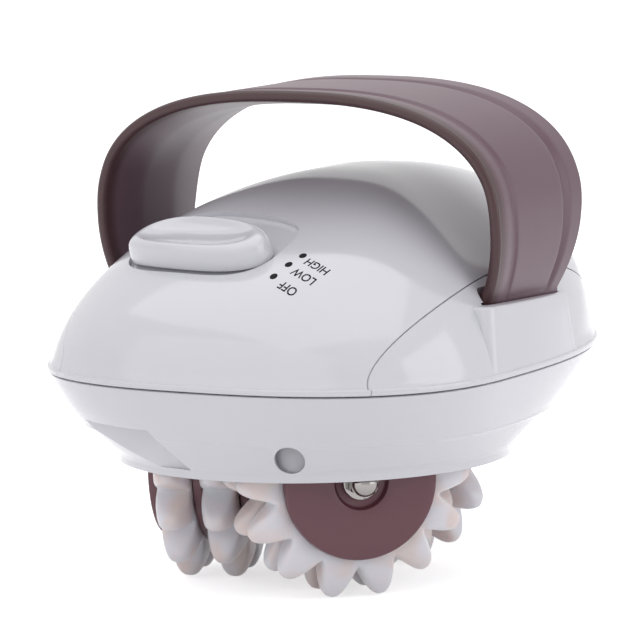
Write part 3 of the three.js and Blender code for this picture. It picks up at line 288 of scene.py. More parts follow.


# %% [markdown]
# One table holds all finishes. Gloss is a roughness and its spread, and grain and ripple are each a
# scale and a depth in thousandths of a millimetre. The last column has what only some finishes need:
# a clear coat, painted shade on the strap's front rim, pinkish patches of painted light that stand in
# for the mauve parts seen through the soft rings, light that sinks into the soft rings, or metal.

# %% The finishes
METAL = {"Metallic": 1.0}
finishes = {}
for slot, name, colour, gloss, tone, grain, ripple, extras in (
    ("white_shell", "Gloss white", (0.655, 0.65, 0.685), (0.13, 0.05), 0.02, (1500, 2), (45, 10),
     {"Coat Weight": 0.2, "Coat Roughness": 0.08}),
    # The rubber's patch colour is painted shade, laid on the strap's front rim by its mask.
    ("mauve_rubber", "Mauve rubber", (0.125, 0.067, 0.089), (0.38, 0.1), 0.08, (2200, 12), (120, 10),
     {"patch": (0.052, 0.018, 0.021), "mask": "painted_rim_shade"}),
    ("mauve_plastic", "Mauve plastic", (0.12, 0.042, 0.055), (0.34, 0.08), 0.06, (2600, 6), (90, 8), {}),
    # Painted light: the ivory's pinkish patches stand in for the mauve cap and hub seen through the
    # rings.
    ("ivory_ring", "Soft ivory", (0.75, 0.74, 0.775), (0.33, 0.1), 0.05, (1300, 8), (140, 20),
     {"patch": (0.75, 0.66, 0.64), "Subsurface Weight": 0.5, "Subsurface Scale": 0.005,
      "Subsurface Radius": (1.0, 0.6, 0.55)}),
    ("chrome", "Polished plating", (0.30, 0.285, 0.275), (0.08, 0.05), 0.02, (1800, 2), (300, 4), METAL),
    ("steel", "Drawn steel", (0.56, 0.56, 0.58), (0.32, 0.14), 0.08, (3000, 8), (200, 6), METAL),
    ("brass", "Turned brass", (0.72, 0.53, 0.26), (0.28, 0.12), 0.08, (2600, 6), (200, 6), METAL),
    ("nylon", "Natural nylon", (0.74, 0.70, 0.61), (0.45, 0.08), 0.05, (1600, 10), (120, 10),
     {"Subsurface Weight": 0.15, "Subsurface Scale": 0.002}),
    ("board", "Solder mask", (0.03, 0.16, 0.07), (0.3, 0.12), 0.12, (1200, 10), (400, 10), {}),
    ("black_plastic", "Black plastic", (0.02, 0.02, 0.022), (0.42, 0.1), 0.1, (2200, 12), (120, 10), {}),
    ("ink", "Black ink", (0.006, 0.006, 0.008), (0.6, 0.1), 0.1, (2600, 4), (200, 4),
     {"Specular IOR Level": 0.15}),
):
    finishes[slot] = make_material(name, colour, gloss, tone, grain, ripple, **extras)
print("finishes:", len(finishes))

# %% [markdown]
# ## Construction nodes that stay
# Gears, motor, plate, board and screws already have their real shape. They keep it and only get a
# finish, chosen by the material slot that the record gives them.

# %% Finish the construction nodes
slot_of = {entry["node"]: entry["material_slot"] for entry in frame["record"]["subparts"]}
for name, node in frame["nodes"].items():
    node.data.materials.clear()
    node.data.materials.append(finishes[slot_of[name]])
print("nodes with a finish:", len(slot_of))

# %% [markdown]
# ## Finishing a new piece
# A new piece is shaded smooth, with its edges kept sharp above an angle. Then it gets the body it
# rides on, its material slot and the construction nodes whose place it takes.

# %% Finish a new piece


def finish_piece(piece, body, slot, *nodes, material=None, angle=32):
    mesh = piece.data
    mesh.name = piece.name
    mesh.shade_smooth()
    mesh.set_sharp_from_angle(angle=math.radians(angle))
    mesh.materials.clear()
    mesh.materials.append(material or finishes[slot])
    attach(piece, body)
    if nodes:
        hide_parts(*nodes)
    print(piece.name, "faces:", len(mesh.polygons))


# %% [markdown]
# ## The body's form
# Seen from above the body is an egg: two superelliptic halves with one widest line. Over it rises a
# dome whose profile changes smoothly with direction, low and long to the front, round and steep to the
# rear. Sculpting would hardly get it as fair. Both are rules, so the form is computed.

# %% The egg outline
HALF_WIDTH = 60.0
FRONT_REACH, REAR_REACH = 50.0, 100.0
OUTLINE_POWER = 2.52
WIDEST_X = -25.0
LIP = 1.4
WALL = 2.2
WELL_X = -15.1
AXLE_Z = sum(corner[2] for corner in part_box("roller_1_cap")) / 2 / MM
LIP_Z = AXLE_Z + 2
PARTING_Z = LIP_Z + 22.6
SHELL_Z = PARTING_Z + 0.4
AROUND = 240


def signed_power(values, power):
    return np.sign(values) * np.abs(values) ** power


def outline(angle, inset):
    c, s = np.cos(angle), np.sin(angle)
    reach = np.where(c < 0, FRONT_REACH, REAR_REACH) - inset
    bulge = 2 / OUTLINE_POWER
    return WIDEST_X + reach * signed_power(c, bulge), (HALF_WIDTH - inset) * signed_power(s, bulge)


def outline_ring(inset, height, around):
    return at_height(*outline(angles(around), inset), height)


print("length and width:", FRONT_REACH + REAR_REACH, 2 * HALF_WIDTH, "mm")

# %% [markdown]
# The dome's profile has two powers in each direction. The inner one says how flat it is at the top,
# the outer one how upright at the foot. Near the top a third value keeps the crest round.

# %% The dome
DOME_TOP_X, DOME_RISE = 12.3, 46.3
INNER_POWERS, OUTER_POWERS = (1.3, 2.06, 2.56), (2.33, 1.61, 2.9)
CREST_POWER, CREST_SHARE = 2.2, 0.22
BASE_FLARE, FLARE_RISE = 1.1, 4
HALVINGS = 46


def dome_share(share, angle):
    """Height over the shell's foot as a share, at a share of the way from the top to the outline."""
    c = np.cos(angle)
    front, side, rear = np.clip(-c, 0, 1) ** 2, 1 - c ** 2, np.clip(c, 0, 1) ** 2
    inner, outer = (power[0] * front + power[1] * side + power[2] * rear
                    for power in (INNER_POWERS, OUTER_POWERS))
    inner = inner + np.clip(CREST_POWER - inner, 0, 1) * np.exp(-(share / CREST_SHARE) ** 2)
    return np.clip(1 - share ** inner, 0, 1) ** (1 / outer)


def dome_rings(inset, rows, around):
    angle = angles(around)
    rings = []
    for row in range(rows):
        share = math.cos(math.pi / 2 * row / rows)
        z = SHELL_Z + (DOME_RISE - (inset - LIP)) * dome_share(share, angle)
        x, y = outline(angle, inset - BASE_FLARE * np.exp((SHELL_Z - z) / FLARE_RISE))
        rings.append(np.stack([DOME_TOP_X + share * (x - DOME_TOP_X), share * y, z], 1))
    return rings


def dome_height(x, y):
    """Height of the dome over a place. The angle that leads there is found by halving."""
    x, y = np.broadcast_arrays(np.asarray(x, float), np.asarray(y, float))
    wanted = np.arctan2(y, x - DOME_TOP_X)
    low, high = np.full(x.shape, -math.pi), np.full(x.shape, math.pi)
    for _ in range(HALVINGS):
        middle = (low + high) / 2
        edge_x, edge_y = outline(middle, LIP)
        below = np.arctan2(edge_y, edge_x - DOME_TOP_X) < wanted
        low, high = np.where(below, middle, low), np.where(below, high, middle)
    edge_x, edge_y = outline(low, LIP)
    share = np.hypot(x - DOME_TOP_X, y) / np.hypot(edge_x - DOME_TOP_X, edge_y)
    return SHELL_Z + DOME_RISE * dome_share(np.clip(share, 0, 1), low)


print("top of the dome:", round(float(dome_height(DOME_TOP_X, 0)), 2), "mm")

# %% [markdown]
# ## Shell blank
# The top shell and both side panels are one continuous surface with fine seams. A full shell is made
# first: the flange with its thin rounded lip, the dome, and the same dome one wall further in. The
# pieces are cut from copies of it, so their surfaces run on exactly.

# %% Shell blank
DOME_ROWS = 72
FLANGE = [
    (0.3, 0), (0.08, 0.1), (0, 0.32), (0, 1.15), (0.06, 1.35), (0.2, 1.5), (0.55, 1.56), (0.62, 1.66)]
FLANGE_RISE = 1.85
OVERRUN = 3


def dome_solid(name, inset, around=AROUND, rows=DOME_ROWS):
    foot = SHELL_Z - OVERRUN
    rings = [outline_ring(inset, foot, around), *dome_rings(inset, rows, around)]
    top = SHELL_Z + DOME_RISE - (inset - LIP)
    return skin(name, rings, [(WIDEST_X, 0, foot), (DOME_TOP_X, 0, top)])


def shell_blank(name):
    rings = [outline_ring(inset, SHELL_Z + rise, AROUND) for inset, rise in FLANGE]
    rings += [ring for ring in dome_rings(LIP, DOME_ROWS, AROUND)
              if ring[:, 2].min() > SHELL_Z + FLANGE_RISE]
    blank = skin(name, rings, [(WIDEST_X, 0, SHELL_Z), (DOME_TOP_X, 0, SHELL_Z + DOME_RISE)])
    return combine(blank, dome_solid("hollow", LIP + WALL, rows=36, around=120))


print("points of the flange:", len(FLANGE))

# %% [markdown]
# A side panel's seam is an arch, drawn from the side and run straight through the wall. The same
# block cuts the panel out and, a hair larger, makes room for it in the top shell.

# %% The arch that parts shell and panels
ARCH_X, ARCH_HALF, ARCH_RISE, ARCH_DEPTH = -2, 62, 23.4, 36
SEAM = 0.3


def panel_arch(side, margin):
    angle = angles(160)
    x = ARCH_X + (ARCH_HALF + margin) * np.cos(angle)
    z = SHELL_Z + (ARCH_RISE + margin) * np.sin(angle)
    levels = (HALF_WIDTH + 2, HALF_WIDTH - ARCH_DEPTH - margin)
    rings = [np.column_stack([x, np.full(len(x), side * level), z]) for level in levels]
    return capped_skin("arch", rings)


print("seam between the shells:", SEAM, "mm")

# %% [markdown]
# ## Switch frame
# The switch slides on a straight line that follows the dome as well as a line can. A small frame of
# three directions, along the travel, across it and out of the dome, places the knob and its track.

# %% Switch frame
KNOB_X, KNOB_Y = -46.5, 13.0
KNOB_LENGTH, KNOB_HALF_WIDTH = 17.5, 21
TRAVEL = 9.6
SLIDE_HEADING = math.radians(-8)


def on_dome(x, y):
    return np.array([x, y, float(dome_height(x, y))])


step = TRAVEL * np.array([math.cos(SLIDE_HEADING), math.sin(SLIDE_HEADING)])
off_place = on_dome(KNOB_X, KNOB_Y)
along = unit(on_dome(KNOB_X + step[0], KNOB_Y + step[1]) - off_place)
rise_across = (on_dome(KNOB_X - step[1], KNOB_Y + step[0])[2]
               - on_dome(KNOB_X + step[1], KNOB_Y - step[0])[2])
across = np.array([-step[1], step[0], rise_across / 2])
across = unit(across - along * across.dot(along))
out = np.cross(along, across)
switch_axes = np.stack([along, across, out])


def in_switch(points):
    return np.asarray(points) @ switch_axes + off_place


def sag(points):
    """How far the dome lies out of the flat of the switch frame at points on that flat."""
    flat = in_switch(np.stack([points[..., 0], points[..., 1], np.zeros(points.shape[:-1])], -1))
    return (dome_height(flat[..., 0], flat[..., 1]) - flat[..., 2]) * out[2]


print("slide direction:", np.round(along, 3))

# %% [markdown]
# ## Top shell
# The dome with its seams, the shallow track of the switch and the round opening of the power jack.
# The track is an oval prism from which a thinner dome is taken away first, so its floor follows the
# dome and stays even. A raised rim inside the hollow keeps the wall under the track.

# %% Top shell with its track
TRACK_DEPTH, TRACK_GAP, TRACK_RIM, TRACK_POWER = 1.4, 1.3, 3.5, 2.9
TRACK_FLOOR = 3
PRISM_REACH = 20.0


def oval(half_along, half_across, power, count=120):
    angle = angles(count)
    return np.stack([
        half_along * signed_power(np.cos(angle), 2 / power),
        half_across * signed_power(np.sin(angle), 2 / power)], 1)


def track_prism(margin):
    half_along = (KNOB_LENGTH + TRAVEL) / 2 + margin
    profile = oval(half_along, KNOB_HALF_WIDTH + margin, TRACK_POWER) + (TRAVEL / 2, 0)
    levels = (-PRISM_REACH, PRISM_REACH)
    rings = [in_switch(at_height(*profile.T, level)) for level in levels]
    return skin("track", rings, in_switch([(TRAVEL / 2, 0, level) for level in levels]))


top_shell = shell_blank("top_shell")
for side in (-1, 1):
    combine(top_shell, panel_arch(side, SEAM))
under = combine(track_prism(TRACK_RIM), dome_solid("under", LIP + TRACK_FLOOR, rows=40, around=160))
combine(under, dome_solid("over", LIP + TRACK_DEPTH), "INTERSECT")
combine(top_shell, under, "UNION")
combine(top_shell, combine(track_prism(TRACK_GAP), dome_solid("floor", LIP + TRACK_DEPTH)))
print("track depth:", TRACK_DEPTH, "mm")

# %% [markdown]
# The lever of the switch comes up through a slot in the track's floor, and the plug goes in through a
# round hole low at the rear. A box and a rod are the cutters.

# %% Slot and jack hole
SLOT_HALF_LENGTH, SLOT_HALF_WIDTH = 2.2, 3.1
JACK_RISE, JACK_RADIUS, JACK_LENGTH, JACK_SETBACK = 7.5, 4.25, 13, 0.6
CUT_BEYOND = 20
BOX_FACES = [(0, 1, 3, 2), (4, 6, 7, 5), (0, 4, 5, 1), (2, 3, 7, 6), (0, 2, 6, 4), (1, 5, 7, 3)]


def box(name, low, high, lay=np.asarray):
    corners = list(itertools.product(*zip(low, high)))
    return make_piece(name, lay(corners), BOX_FACES)


def rod(name, start, end, radius, around=48):
    start, end = np.array(start, float), np.array(end, float)
    axis = unit(end - start)
    helper = np.array([0, 0, 1.0]) if abs(axis[2]) < 0.9 else np.array([1.0, 0, 0])
    first = unit(np.cross(axis, helper))
    second = np.cross(axis, first)
    angle = angles(around)[:, None]
    circle = radius * (np.cos(angle) * first + np.sin(angle) * second)
    return skin(name, [start + circle, end + circle], [start, end])


slot_low = -SLOT_HALF_LENGTH, -SLOT_HALF_WIDTH, -10
slot_high = SLOT_HALF_LENGTH + TRAVEL, SLOT_HALF_WIDTH, 10
combine(top_shell, box("slot", slot_low, slot_high, in_switch))
jack_z = SHELL_Z + JACK_RISE
jack_face = WIDEST_X + REAR_REACH - LIP - JACK_SETBACK
jack_ends = (jack_face - JACK_LENGTH, 0, jack_z), (jack_face + CUT_BEYOND, 0, jack_z)
combine(top_shell, rod("jack_hole", *jack_ends, JACK_RADIUS))
finish_piece(top_shell, "housing", "white_shell", "top_shell")

# %% [markdown]
# ## Strap
# A wide moulded band of matte rubber, which stands open for the back of the hand. A curve with a bevel
# could give it, but not its changing width. So one section is swept along a path by a rule. The path
# is a superellipse across the body that runs into legs leaning inwards.

# %% The strap's path and width
SHOULDER_Z = SHELL_Z + 34.4
STRAP_HALF_SPAN, STRAP_RISE, STRAP_POWER = 57.4, 33.6, 2.55
LEG_DROP, LEG_LEAN = 17, 3.7
MOUTH_Z = SHOULDER_Z - LEG_DROP
FOOT_Y, FOOT_REACH, FOOT_DEPTH = 53.7, 15.0, 12
MOUTH_FRONT, MOUTH_REAR = 21.5, 15.5
TAPER_RISE = 29
FRONT_WIDENING, REAR_WIDENING, CROWN_WIDENING = 2, 8, 2


def strap_path(margin):
    """Middle line of the outer face, as (y, z) from foot to foot. A margin makes it longer."""
    t = np.linspace(math.pi / 2, 0, 60)
    y = STRAP_HALF_SPAN * np.cos(t) ** (2 / STRAP_POWER)
    z = SHOULDER_Z + STRAP_RISE * np.sin(t) ** (2 / STRAP_POWER)
    y[0] = 0
    down = np.linspace(0, 1, 22)[1:]
    y = np.concatenate([y, STRAP_HALF_SPAN - LEG_LEAN * down ** 2, [FOOT_Y] * 4])
    foot = MOUTH_Z + np.array([-2, -3.9, -4.1, -FOOT_DEPTH - margin])
    z = np.concatenate([z, SHOULDER_Z - LEG_DROP * down, foot])
    return np.concatenate([np.stack([-y, z], 1)[::-1], np.stack([y, z], 1)[1:]])


def strap_reach(z):
    """How far the strap reaches to the front and to the rear of its middle line at a height."""
    if z < MOUTH_Z - 4:
        return FOOT_REACH, FOOT_REACH
    taper = math.sin(min(max((z - MOUTH_Z) / TAPER_RISE, 0), 1) * math.pi / 2)
    crown = max((z - MOUTH_Z - TAPER_RISE) / (LEG_DROP + STRAP_RISE - TAPER_RISE), 0)
    front = MOUTH_FRONT + FRONT_WIDENING * taper + CROWN_WIDENING * crown
    return front, MOUTH_REAR + REAR_WIDENING * taper + CROWN_WIDENING * crown


print("width of the strap at its mouth:", sum(strap_reach(MOUTH_Z)), "mm")

# %% [markdown]
# The section is a flat lens with round edges. Its outer face has a rolled border with a fine raised
# line at the front and a groove at the rear. All of this relief fades out where the strap goes into
# its sockets. After the pin holes are cut, an attribute marks the front rim, where shade is painted on.

# %% Strap
STRAP_X, STRAP_THICK, RIM_THINNING = -1.0, 4.6, 1.75
EDGE_SHARE, RIM_SHARE = 0.93, 0.07
ROLL_FROM, ROLL_TO, LINE_SHARE, GROOVE_SHARE = -0.82, -0.52, -0.545, 0.6
FACE_DEPTH, ROLL_DEPTH, LINE_HEIGHT, GROOVE_DEPTH, REAR_STEP = 0.2, 0.5, 0.22, 0.85, 0.12
RELIEF, FADE_BELOW, FADE_LENGTH = 0.95, 3, 6
PIN_Y, PIN_Z, PIN_HOLE = FOOT_Y - STRAP_THICK / 2, MOUTH_Z - 8, 1.75
RIM_SHADE_STEEPNESS, RIM_SHADE_DELAY = 9, 7.0


def bump(values, centre, width):
    return np.exp(-((values - centre) / width) ** 2)


def strap_section(margin, relief):
    """(share across, depth below the outer face) round the section, outer face first."""
    top = np.linspace(-EDGE_SHARE, EDGE_SHARE, 125)
    rolled = np.clip((top - ROLL_FROM) / 0.2, 0, 1) ** 2 * np.clip((ROLL_TO - top) / 0.05, 0, 1)
    roll, line = ROLL_DEPTH * rolled, LINE_HEIGHT * bump(top, LINE_SHARE, 0.013)
    groove = GROOVE_DEPTH * bump(top, GROOVE_SHARE, 0.055)
    depth = relief * (FACE_DEPTH + roll - line + groove - REAR_STEP * (top > GROOVE_SHARE))
    bottom = np.linspace(EDGE_SHARE, -EDGE_SHARE, 40)
    turn = np.linspace(0, math.pi, 14)[1:-1]
    half = STRAP_THICK / 2 + margin
    thinner = RIM_THINNING * relief * np.clip((np.abs(bottom) - 0.3) / 0.63, 0, 1) ** 1.4
    edge = half - thinner[0] / 2
    round_out = RIM_SHARE * np.sin(turn)
    right = np.stack([EDGE_SHARE + round_out, edge * (1 - np.cos(turn))], 1)
    left = np.stack([-EDGE_SHARE - round_out, edge * (1 + np.cos(turn))], 1)
    outer = np.stack([top, depth * (relief > 0)], 1)
    inner = np.stack([bottom, 2 * half - thinner], 1)
    return np.concatenate([outer, right, inner, left])


def make_strap(name, margin):
    path = strap_path(margin)
    rings = []
    for k, point in enumerate(path):
        heading = unit(path[min(k + 1, len(path) - 1)] - path[max(k - 1, 0)])
        outward = np.array([-heading[1], heading[0]])
        shown = float(np.clip((point[1] - MOUTH_Z + FADE_BELOW) / FADE_LENGTH, 0, 1))
        section = strap_section(margin, RELIEF * shown if margin == 0 else 0)
        front, rear = strap_reach(point[1])
        x = STRAP_X + section[:, 0] * (np.where(section[:, 0] < 0, front, rear) + margin)
        depth = margin - section[:, 1]
        rings.append(np.stack([x, point[0] + outward[0] * depth, point[1] + outward[1] * depth], 1))
    return capped_skin(name, rings)


def pin_rod(side, low, high):
    return rod("pin_hole", (low, side * PIN_Y, PIN_Z), (high, side * PIN_Y, PIN_Z), PIN_HOLE, 24)


strap = make_strap("strap", 0)
for side in (-1, 1):
    combine(strap, pin_rod(side, -30, 30))
# Painted shade: the rubber is coloured darker towards the strap's front rim, for the shade on that side.
painted_rim_shade = strap.data.attributes.new("painted_rim_shade", "FLOAT", "POINT")
for corner, vertex in zip(painted_rim_shade.data, strap.data.vertices):
    x, _, z = np.array(vertex.co) / MM
    corner.value = min(max((STRAP_X - x) / strap_reach(z)[0] * RIM_SHADE_STEEPNESS - RIM_SHADE_DELAY, 0), 1)
finish_piece(strap, "housing", "mauve_rubber", "strap", angle=50)

# %% [markdown]
# ## Side panels
# Each panel is cut from the same shell blank inside the arch, and carries the socket that the strap
# sinks into. The socket is a block with drafted sides, rounded corners and a softened top edge. A
# slightly larger strap is taken away from it, which leaves a fine shadow gap all round the foot.

# %% The socket's block and hollow
POD_RISE, POD_SLANT, POD_CORNER = 17.4, 0.03, 2.6
POD_FRONT, POD_REAR, POD_BACK_Y = -28.5, 18.0, 46.0
POD_FRONT_Y, POD_REAR_Y = 57.2, 54.8
FRONT_DRAFT, REAR_DRAFT, FRONT_Y_DRAFT, REAR_Y_DRAFT = 3.5, 0.6, 2.6, 2.3
POD_EDGE = [(0.1, 0), (4, 0), (8, 0), (12, 0), (POD_RISE - 0.9, 0), (POD_RISE - 0.5, 0.07),
            (POD_RISE - 0.2, 0.24), (POD_RISE - 0.05, 0.5), (POD_RISE, 0.85)]
POCKET_X, POCKET_HALF_LENGTH = -4.7, 19.3
POCKET_Y, POCKET_HALF_WIDTH, POCKET_BULGE = 51.5, 2.75, 0.3
POCKET_RISES = -3.6, 0.3
STRAP_GAP = 0.25
PANEL_PIN_ENDS = -18.45, 16.45


def pod_ring(rise, inset):
    """One level of the socket's outside, with its draft and its slight fall to the rear."""
    foot = 1 - rise / POD_RISE
    front, rear = POD_FRONT - FRONT_DRAFT * foot + inset, POD_REAR + REAR_DRAFT * foot - inset
    front_y = POD_FRONT_Y + FRONT_Y_DRAFT * foot - inset
    rear_y = POD_REAR_Y + REAR_Y_DRAFT * foot - inset
    middle = np.linspace(1, 0, 16)[1:-1]
    bend = np.linspace(0, math.pi / 2, 12)
    radius = POD_CORNER - inset
    c, s = radius * np.cos(bend), radius * np.sin(bend)
    rear_corner = np.stack([rear - radius + c, rear_y - radius + s], 1)
    front_corner = np.stack([front + radius - s, front_y - radius + c], 1)
    face_x = front + radius + (rear - front - 2 * radius) * middle
    face = np.stack([face_x, front_y + (rear_y - front_y) * middle ** 3], 1)
    behind = [[front, POD_BACK_Y], [rear, POD_BACK_Y]]
    corners = np.concatenate([behind, rear_corner, face, front_corner])
    height = SHELL_Z + rise - POD_SLANT * (corners[:, 0] - front) * (1 - foot)
    return np.column_stack([corners, height])


def pocket_ring(height):
    """The wide upper part of the socket's hollow, longer to the front than the strap."""
    turn = angles(64)
    x = POCKET_X + POCKET_HALF_LENGTH * signed_power(np.cos(turn), POCKET_BULGE)
    y = POCKET_Y + POCKET_HALF_WIDTH * signed_power(np.sin(turn), POCKET_BULGE)
    return at_height(x, y, height)


print("levels of the socket's block:", len(POD_EDGE))

# %% [markdown]
# The far panel is the near one's mirror image. It is made by the same function with its side turned
# round, and not by a mirrored scale, so its faces still point outwards.

# %% Side panels


def make_panel(name, side):
    panel = combine(shell_blank(name), panel_arch(side, 0), "INTERSECT")
    pod = np.array([pod_ring(rise, inset) for rise, inset in POD_EDGE]) * (1, side, 1)
    combine(panel, capped_skin("pod", pod), "UNION")
    combine(panel, make_strap("slot", STRAP_GAP))
    pocket = np.array([pocket_ring(MOUTH_Z + rise) for rise in POCKET_RISES]) * (1, side, 1)
    combine(panel, capped_skin("pocket", pocket))
    combine(panel, pin_rod(side, *PANEL_PIN_ENDS))
    finish_piece(panel, "housing", "white_shell", name)


make_panel("side_panel_near", -1)
make_panel("side_panel_far", 1)

# %% [markdown]
# ## Lower housing
# A bowl in two tapering bands with a crease between them, a round lip, and the tube of the roller well
# inside. All of it is one closed section carried round the body, because every ring of it is a blend
# of the egg outline and the lip's circle.

# %% Rings of the bowl and the well
LIP_RADIUS, WELL_RADIUS, WELL_WALL = 49.2, 46.0, 2
HOUSING_INSET, LIP_ROUND = 0.5, 0.7
CREASE_SHARE, CREASE_DROP, UPPER_BULGE = 0.49, 12.7, 0.035
BAND_FOOT = 2.7


def bowl_ring(share, inset, height):
    angle = angles(AROUND)
    x, y = outline(angle, HOUSING_INSET + inset)
    radius = LIP_RADIUS + LIP_ROUND - inset
    ring_x = x + (WELL_X + radius * np.cos(angle) - x) * share
    ring_y = y + (radius * np.sin(angle) - y) * share
    return at_height(ring_x, ring_y, height)


def well_ring(radius, height, flat=HALF_WIDTH):
    angle = angles(AROUND)
    y = np.clip(radius * np.sin(angle), -flat, flat)
    return at_height(WELL_X + radius * np.cos(angle), y, height)


def on_band(rise):
    """Share of the way to the lip at a height above it: full in the upper band, straight below."""
    crease, top = PARTING_Z - CREASE_DROP - LIP_Z, PARTING_Z - LIP_Z
    share = float(np.interp(rise, [BAND_FOOT, crease, top], [1, CREASE_SHARE, 0]))
    along_band = min(max((rise - crease) / CREASE_DROP, 0), 1)
    return share - 4 * UPPER_BULGE * along_band * (1 - along_band)


print("heights of lip and parting line:", round(LIP_Z, 2), round(PARTING_Z, 2), "mm")

# %% [markdown]
# The outside runs up from the lip over both bands to the parting line, with a fine bead along the
# crease. The inside runs down again one wall further in, and up and down the tube of the well.

# %% Lower housing
LIP_PROFILE = [(-0.35, 0), (-0.1, 0.1), (0, 0.35), (0, 1.7), (0.1, 2.0)]
BAND_RISES = [
    3.6, 5.4, 7.2, 8.8, 9.55, 9.75, 9.9, 10.05, 10.25, 11, 12.5, 14, 15.5, 17, 18.5, 20, 21.2, 22.1]
BEAD = {9.75: -0.12, 9.9: -0.17, 10.05: -0.12}
WELL_TOP = LIP_Z + 31.25
WELL_FLAT = 47.15
tube = WELL_RADIUS + WELL_WALL
outside = [well_ring(LIP_RADIUS + growth, LIP_Z + rise) for growth, rise in LIP_PROFILE]
outside += [bowl_ring(1, 0.15, LIP_Z + 2.4), bowl_ring(1, 0, LIP_Z + 2.8)]
outside += [bowl_ring(on_band(rise), BEAD.get(rise, 0), LIP_Z + rise) for rise in BAND_RISES]
outside += [bowl_ring(0, 0.08, PARTING_Z - 0.15), bowl_ring(0, 0.35, PARTING_Z)]
inside = [bowl_ring(0, WALL, PARTING_Z), bowl_ring(CREASE_SHARE, WALL, PARTING_Z - CREASE_DROP + 1),
          bowl_ring(1, WALL, LIP_Z + 2.4), well_ring(tube, LIP_Z + 2.5), well_ring(tube, PARTING_Z),
          well_ring(tube, PARTING_Z + 0.1, WELL_FLAT), well_ring(tube, WELL_TOP, WELL_FLAT),
          well_ring(WELL_RADIUS, WELL_TOP), well_ring(WELL_RADIUS, LIP_Z + 0.4),
          well_ring(WELL_RADIUS + 0.4, LIP_Z)]
housing = skin("lower_housing", outside + inside)
print("rings of the housing:", len(outside) + len(inside))

# %% [markdown]
# The finger notch is a flat cut behind the bowl's outer face. It gets its own lining first, a slab kept
# inside the bowl and outside the well, so that the cut leaves a closed wall and no hole. The recess at
# the front and the two screw sinks at the rear are plain rods.

# %% Finger notch, recess and screw sinks
NOTCH_HEADING, NOTCH_DEPTH, NOTCH_LINING = 176, WELL_RADIUS + 1.7, 1.7
RECESS_HEADING, RECESS_RISE, RECESS_RADIUS, RECESS_REACH = 203.5, 6.2, 3.7, 22
SINK_X, SINK_Y, SINK_DROP, SINK_RADIUS = 56, 21, 4.4, 3.05
NOTCH_FLOOR, NOTCH_ROOF, NOTCH_SIDE_LOW, NOTCH_SIDE_HIGH = 2.2, 12.2, 2.7, 11.0


def turned(points, degrees_about_well):
    angle = math.radians(degrees_about_well)
    c, s = math.cos(angle), math.sin(angle)
    return np.asarray(points) @ np.array([[c, s, 0], [-s, c, 0], [0, 0, 1]]) + (WELL_X, 0, 0)


def notch_block(name, margin):
    """A block with one slanted side, outside a flat that stands on the notch's heading."""
    near, far = NOTCH_DEPTH - margin, HALF_WIDTH
    low, high = LIP_Z + NOTCH_FLOOR - margin / 4, LIP_Z + NOTCH_ROOF + margin
    side = [(NOTCH_SIDE_LOW - margin, low), (far, low), (far, high), (NOTCH_SIDE_HIGH - margin, high)]
    points = [(radial, across, height) for radial in (near, near + 40) for across, height in side]
    faces = [(0, 1, 2, 3), (4, 7, 6, 5), (0, 4, 5, 1), (1, 5, 6, 2), (2, 6, 7, 3), (3, 7, 4, 0)]
    return make_piece(name, turned(np.array(points) * (1, -1, 1), NOTCH_HEADING), faces)


bowl = skin("bowl", outside, [(WELL_X, 0, LIP_Z), (WELL_X, 0, PARTING_Z)])
lining = combine(notch_block("lining", NOTCH_LINING), bowl, "INTERSECT")
combine(lining, rod("well", (WELL_X, 0, LIP_Z - 1), (WELL_X, 0, WELL_TOP), WELL_RADIUS + 0.2, 160))
combine(housing, lining, "UNION")
combine(housing, notch_block("notch", 0))
recess_z = LIP_Z + RECESS_RISE
recess_ends = turned([(tube, 0, recess_z), (tube + RECESS_REACH, 0, recess_z)], RECESS_HEADING)
combine(housing, rod("recess", *recess_ends, RECESS_RADIUS, 64))
for side in (-1, 1):
    sink_ends = (SINK_X, side * SINK_Y, LIP_Z - 2), (SINK_X, side * SINK_Y, PARTING_Z - SINK_DROP)
    combine(housing, rod("screw_sink", *sink_ends, SINK_RADIUS, 32))
finish_piece(housing, "housing", "white_shell", "lower_housing")

# %% [markdown]
# ## Switch knob
# A long oval button with a dished top for the thumb. Rings of one oval, each with its share of the
# size and its height over the dome, give the steep side, the round shoulder and the hollow. Its
# underside is cut by the track's floor at three places of the travel, so it clears it all the way.

# %% Switch knob
KNOB_PROFILE = [
    (1.0, -2.8), (1.0, -1.0), (1.0, 0.6), (0.997, 2.0), (0.99, 3.1), (0.975, 4.0), (0.945, 4.7),
    (0.905, 5.15), (0.86, 5.38), (0.82, 5.4), (0.78, 5.22), (0.71, 4.75), (0.61, 4.15), (0.48, 3.6),
    (0.33, 3.2), (0.16, 3.0),
]
KNOB_POWER, DISH_SHIFT, DISH_BOTTOM, TOP_TILT, TILT_RISE = 2.3, 1.6, 2.8, 0.085, 3
SHOULDER_START, KNOB_CLEARANCE = 2.9, 0.6
STEM_LOW, STEM_HIGH = (-1.6, -2.5, -5.0), (1.6, 2.5, 1.8)
knob_rings = []
for share, height in KNOB_PROFILE:
    ring = oval(KNOB_LENGTH / 2 * share, KNOB_HALF_WIDTH * share, KNOB_POWER, 144)
    ring[:, 0] += DISH_SHIFT * (1 - share) if height > SHOULDER_START else 0
    tilt = TOP_TILT * ring[:, 0] * min(max(height / TILT_RISE, 0), 1)
    knob_rings.append(in_switch(np.column_stack([ring, height + sag(ring) - tilt])))
knob_poles = [(0, 0, KNOB_PROFILE[0][1]), (DISH_SHIFT, 0, DISH_BOTTOM)]
knob = skin("switch_knob", knob_rings, in_switch(knob_poles))
for share in (0, 0.5, 1):
    track_floor = dome_solid("floor", LIP + TRACK_DEPTH - KNOB_CLEARANCE)
    track_floor.data.transform(Matrix.Translation(Vector(along * -share * TRAVEL * MM)))
    combine(knob, track_floor)
combine(knob, box("stem", STEM_LOW, STEM_HIGH, in_switch), "UNION")
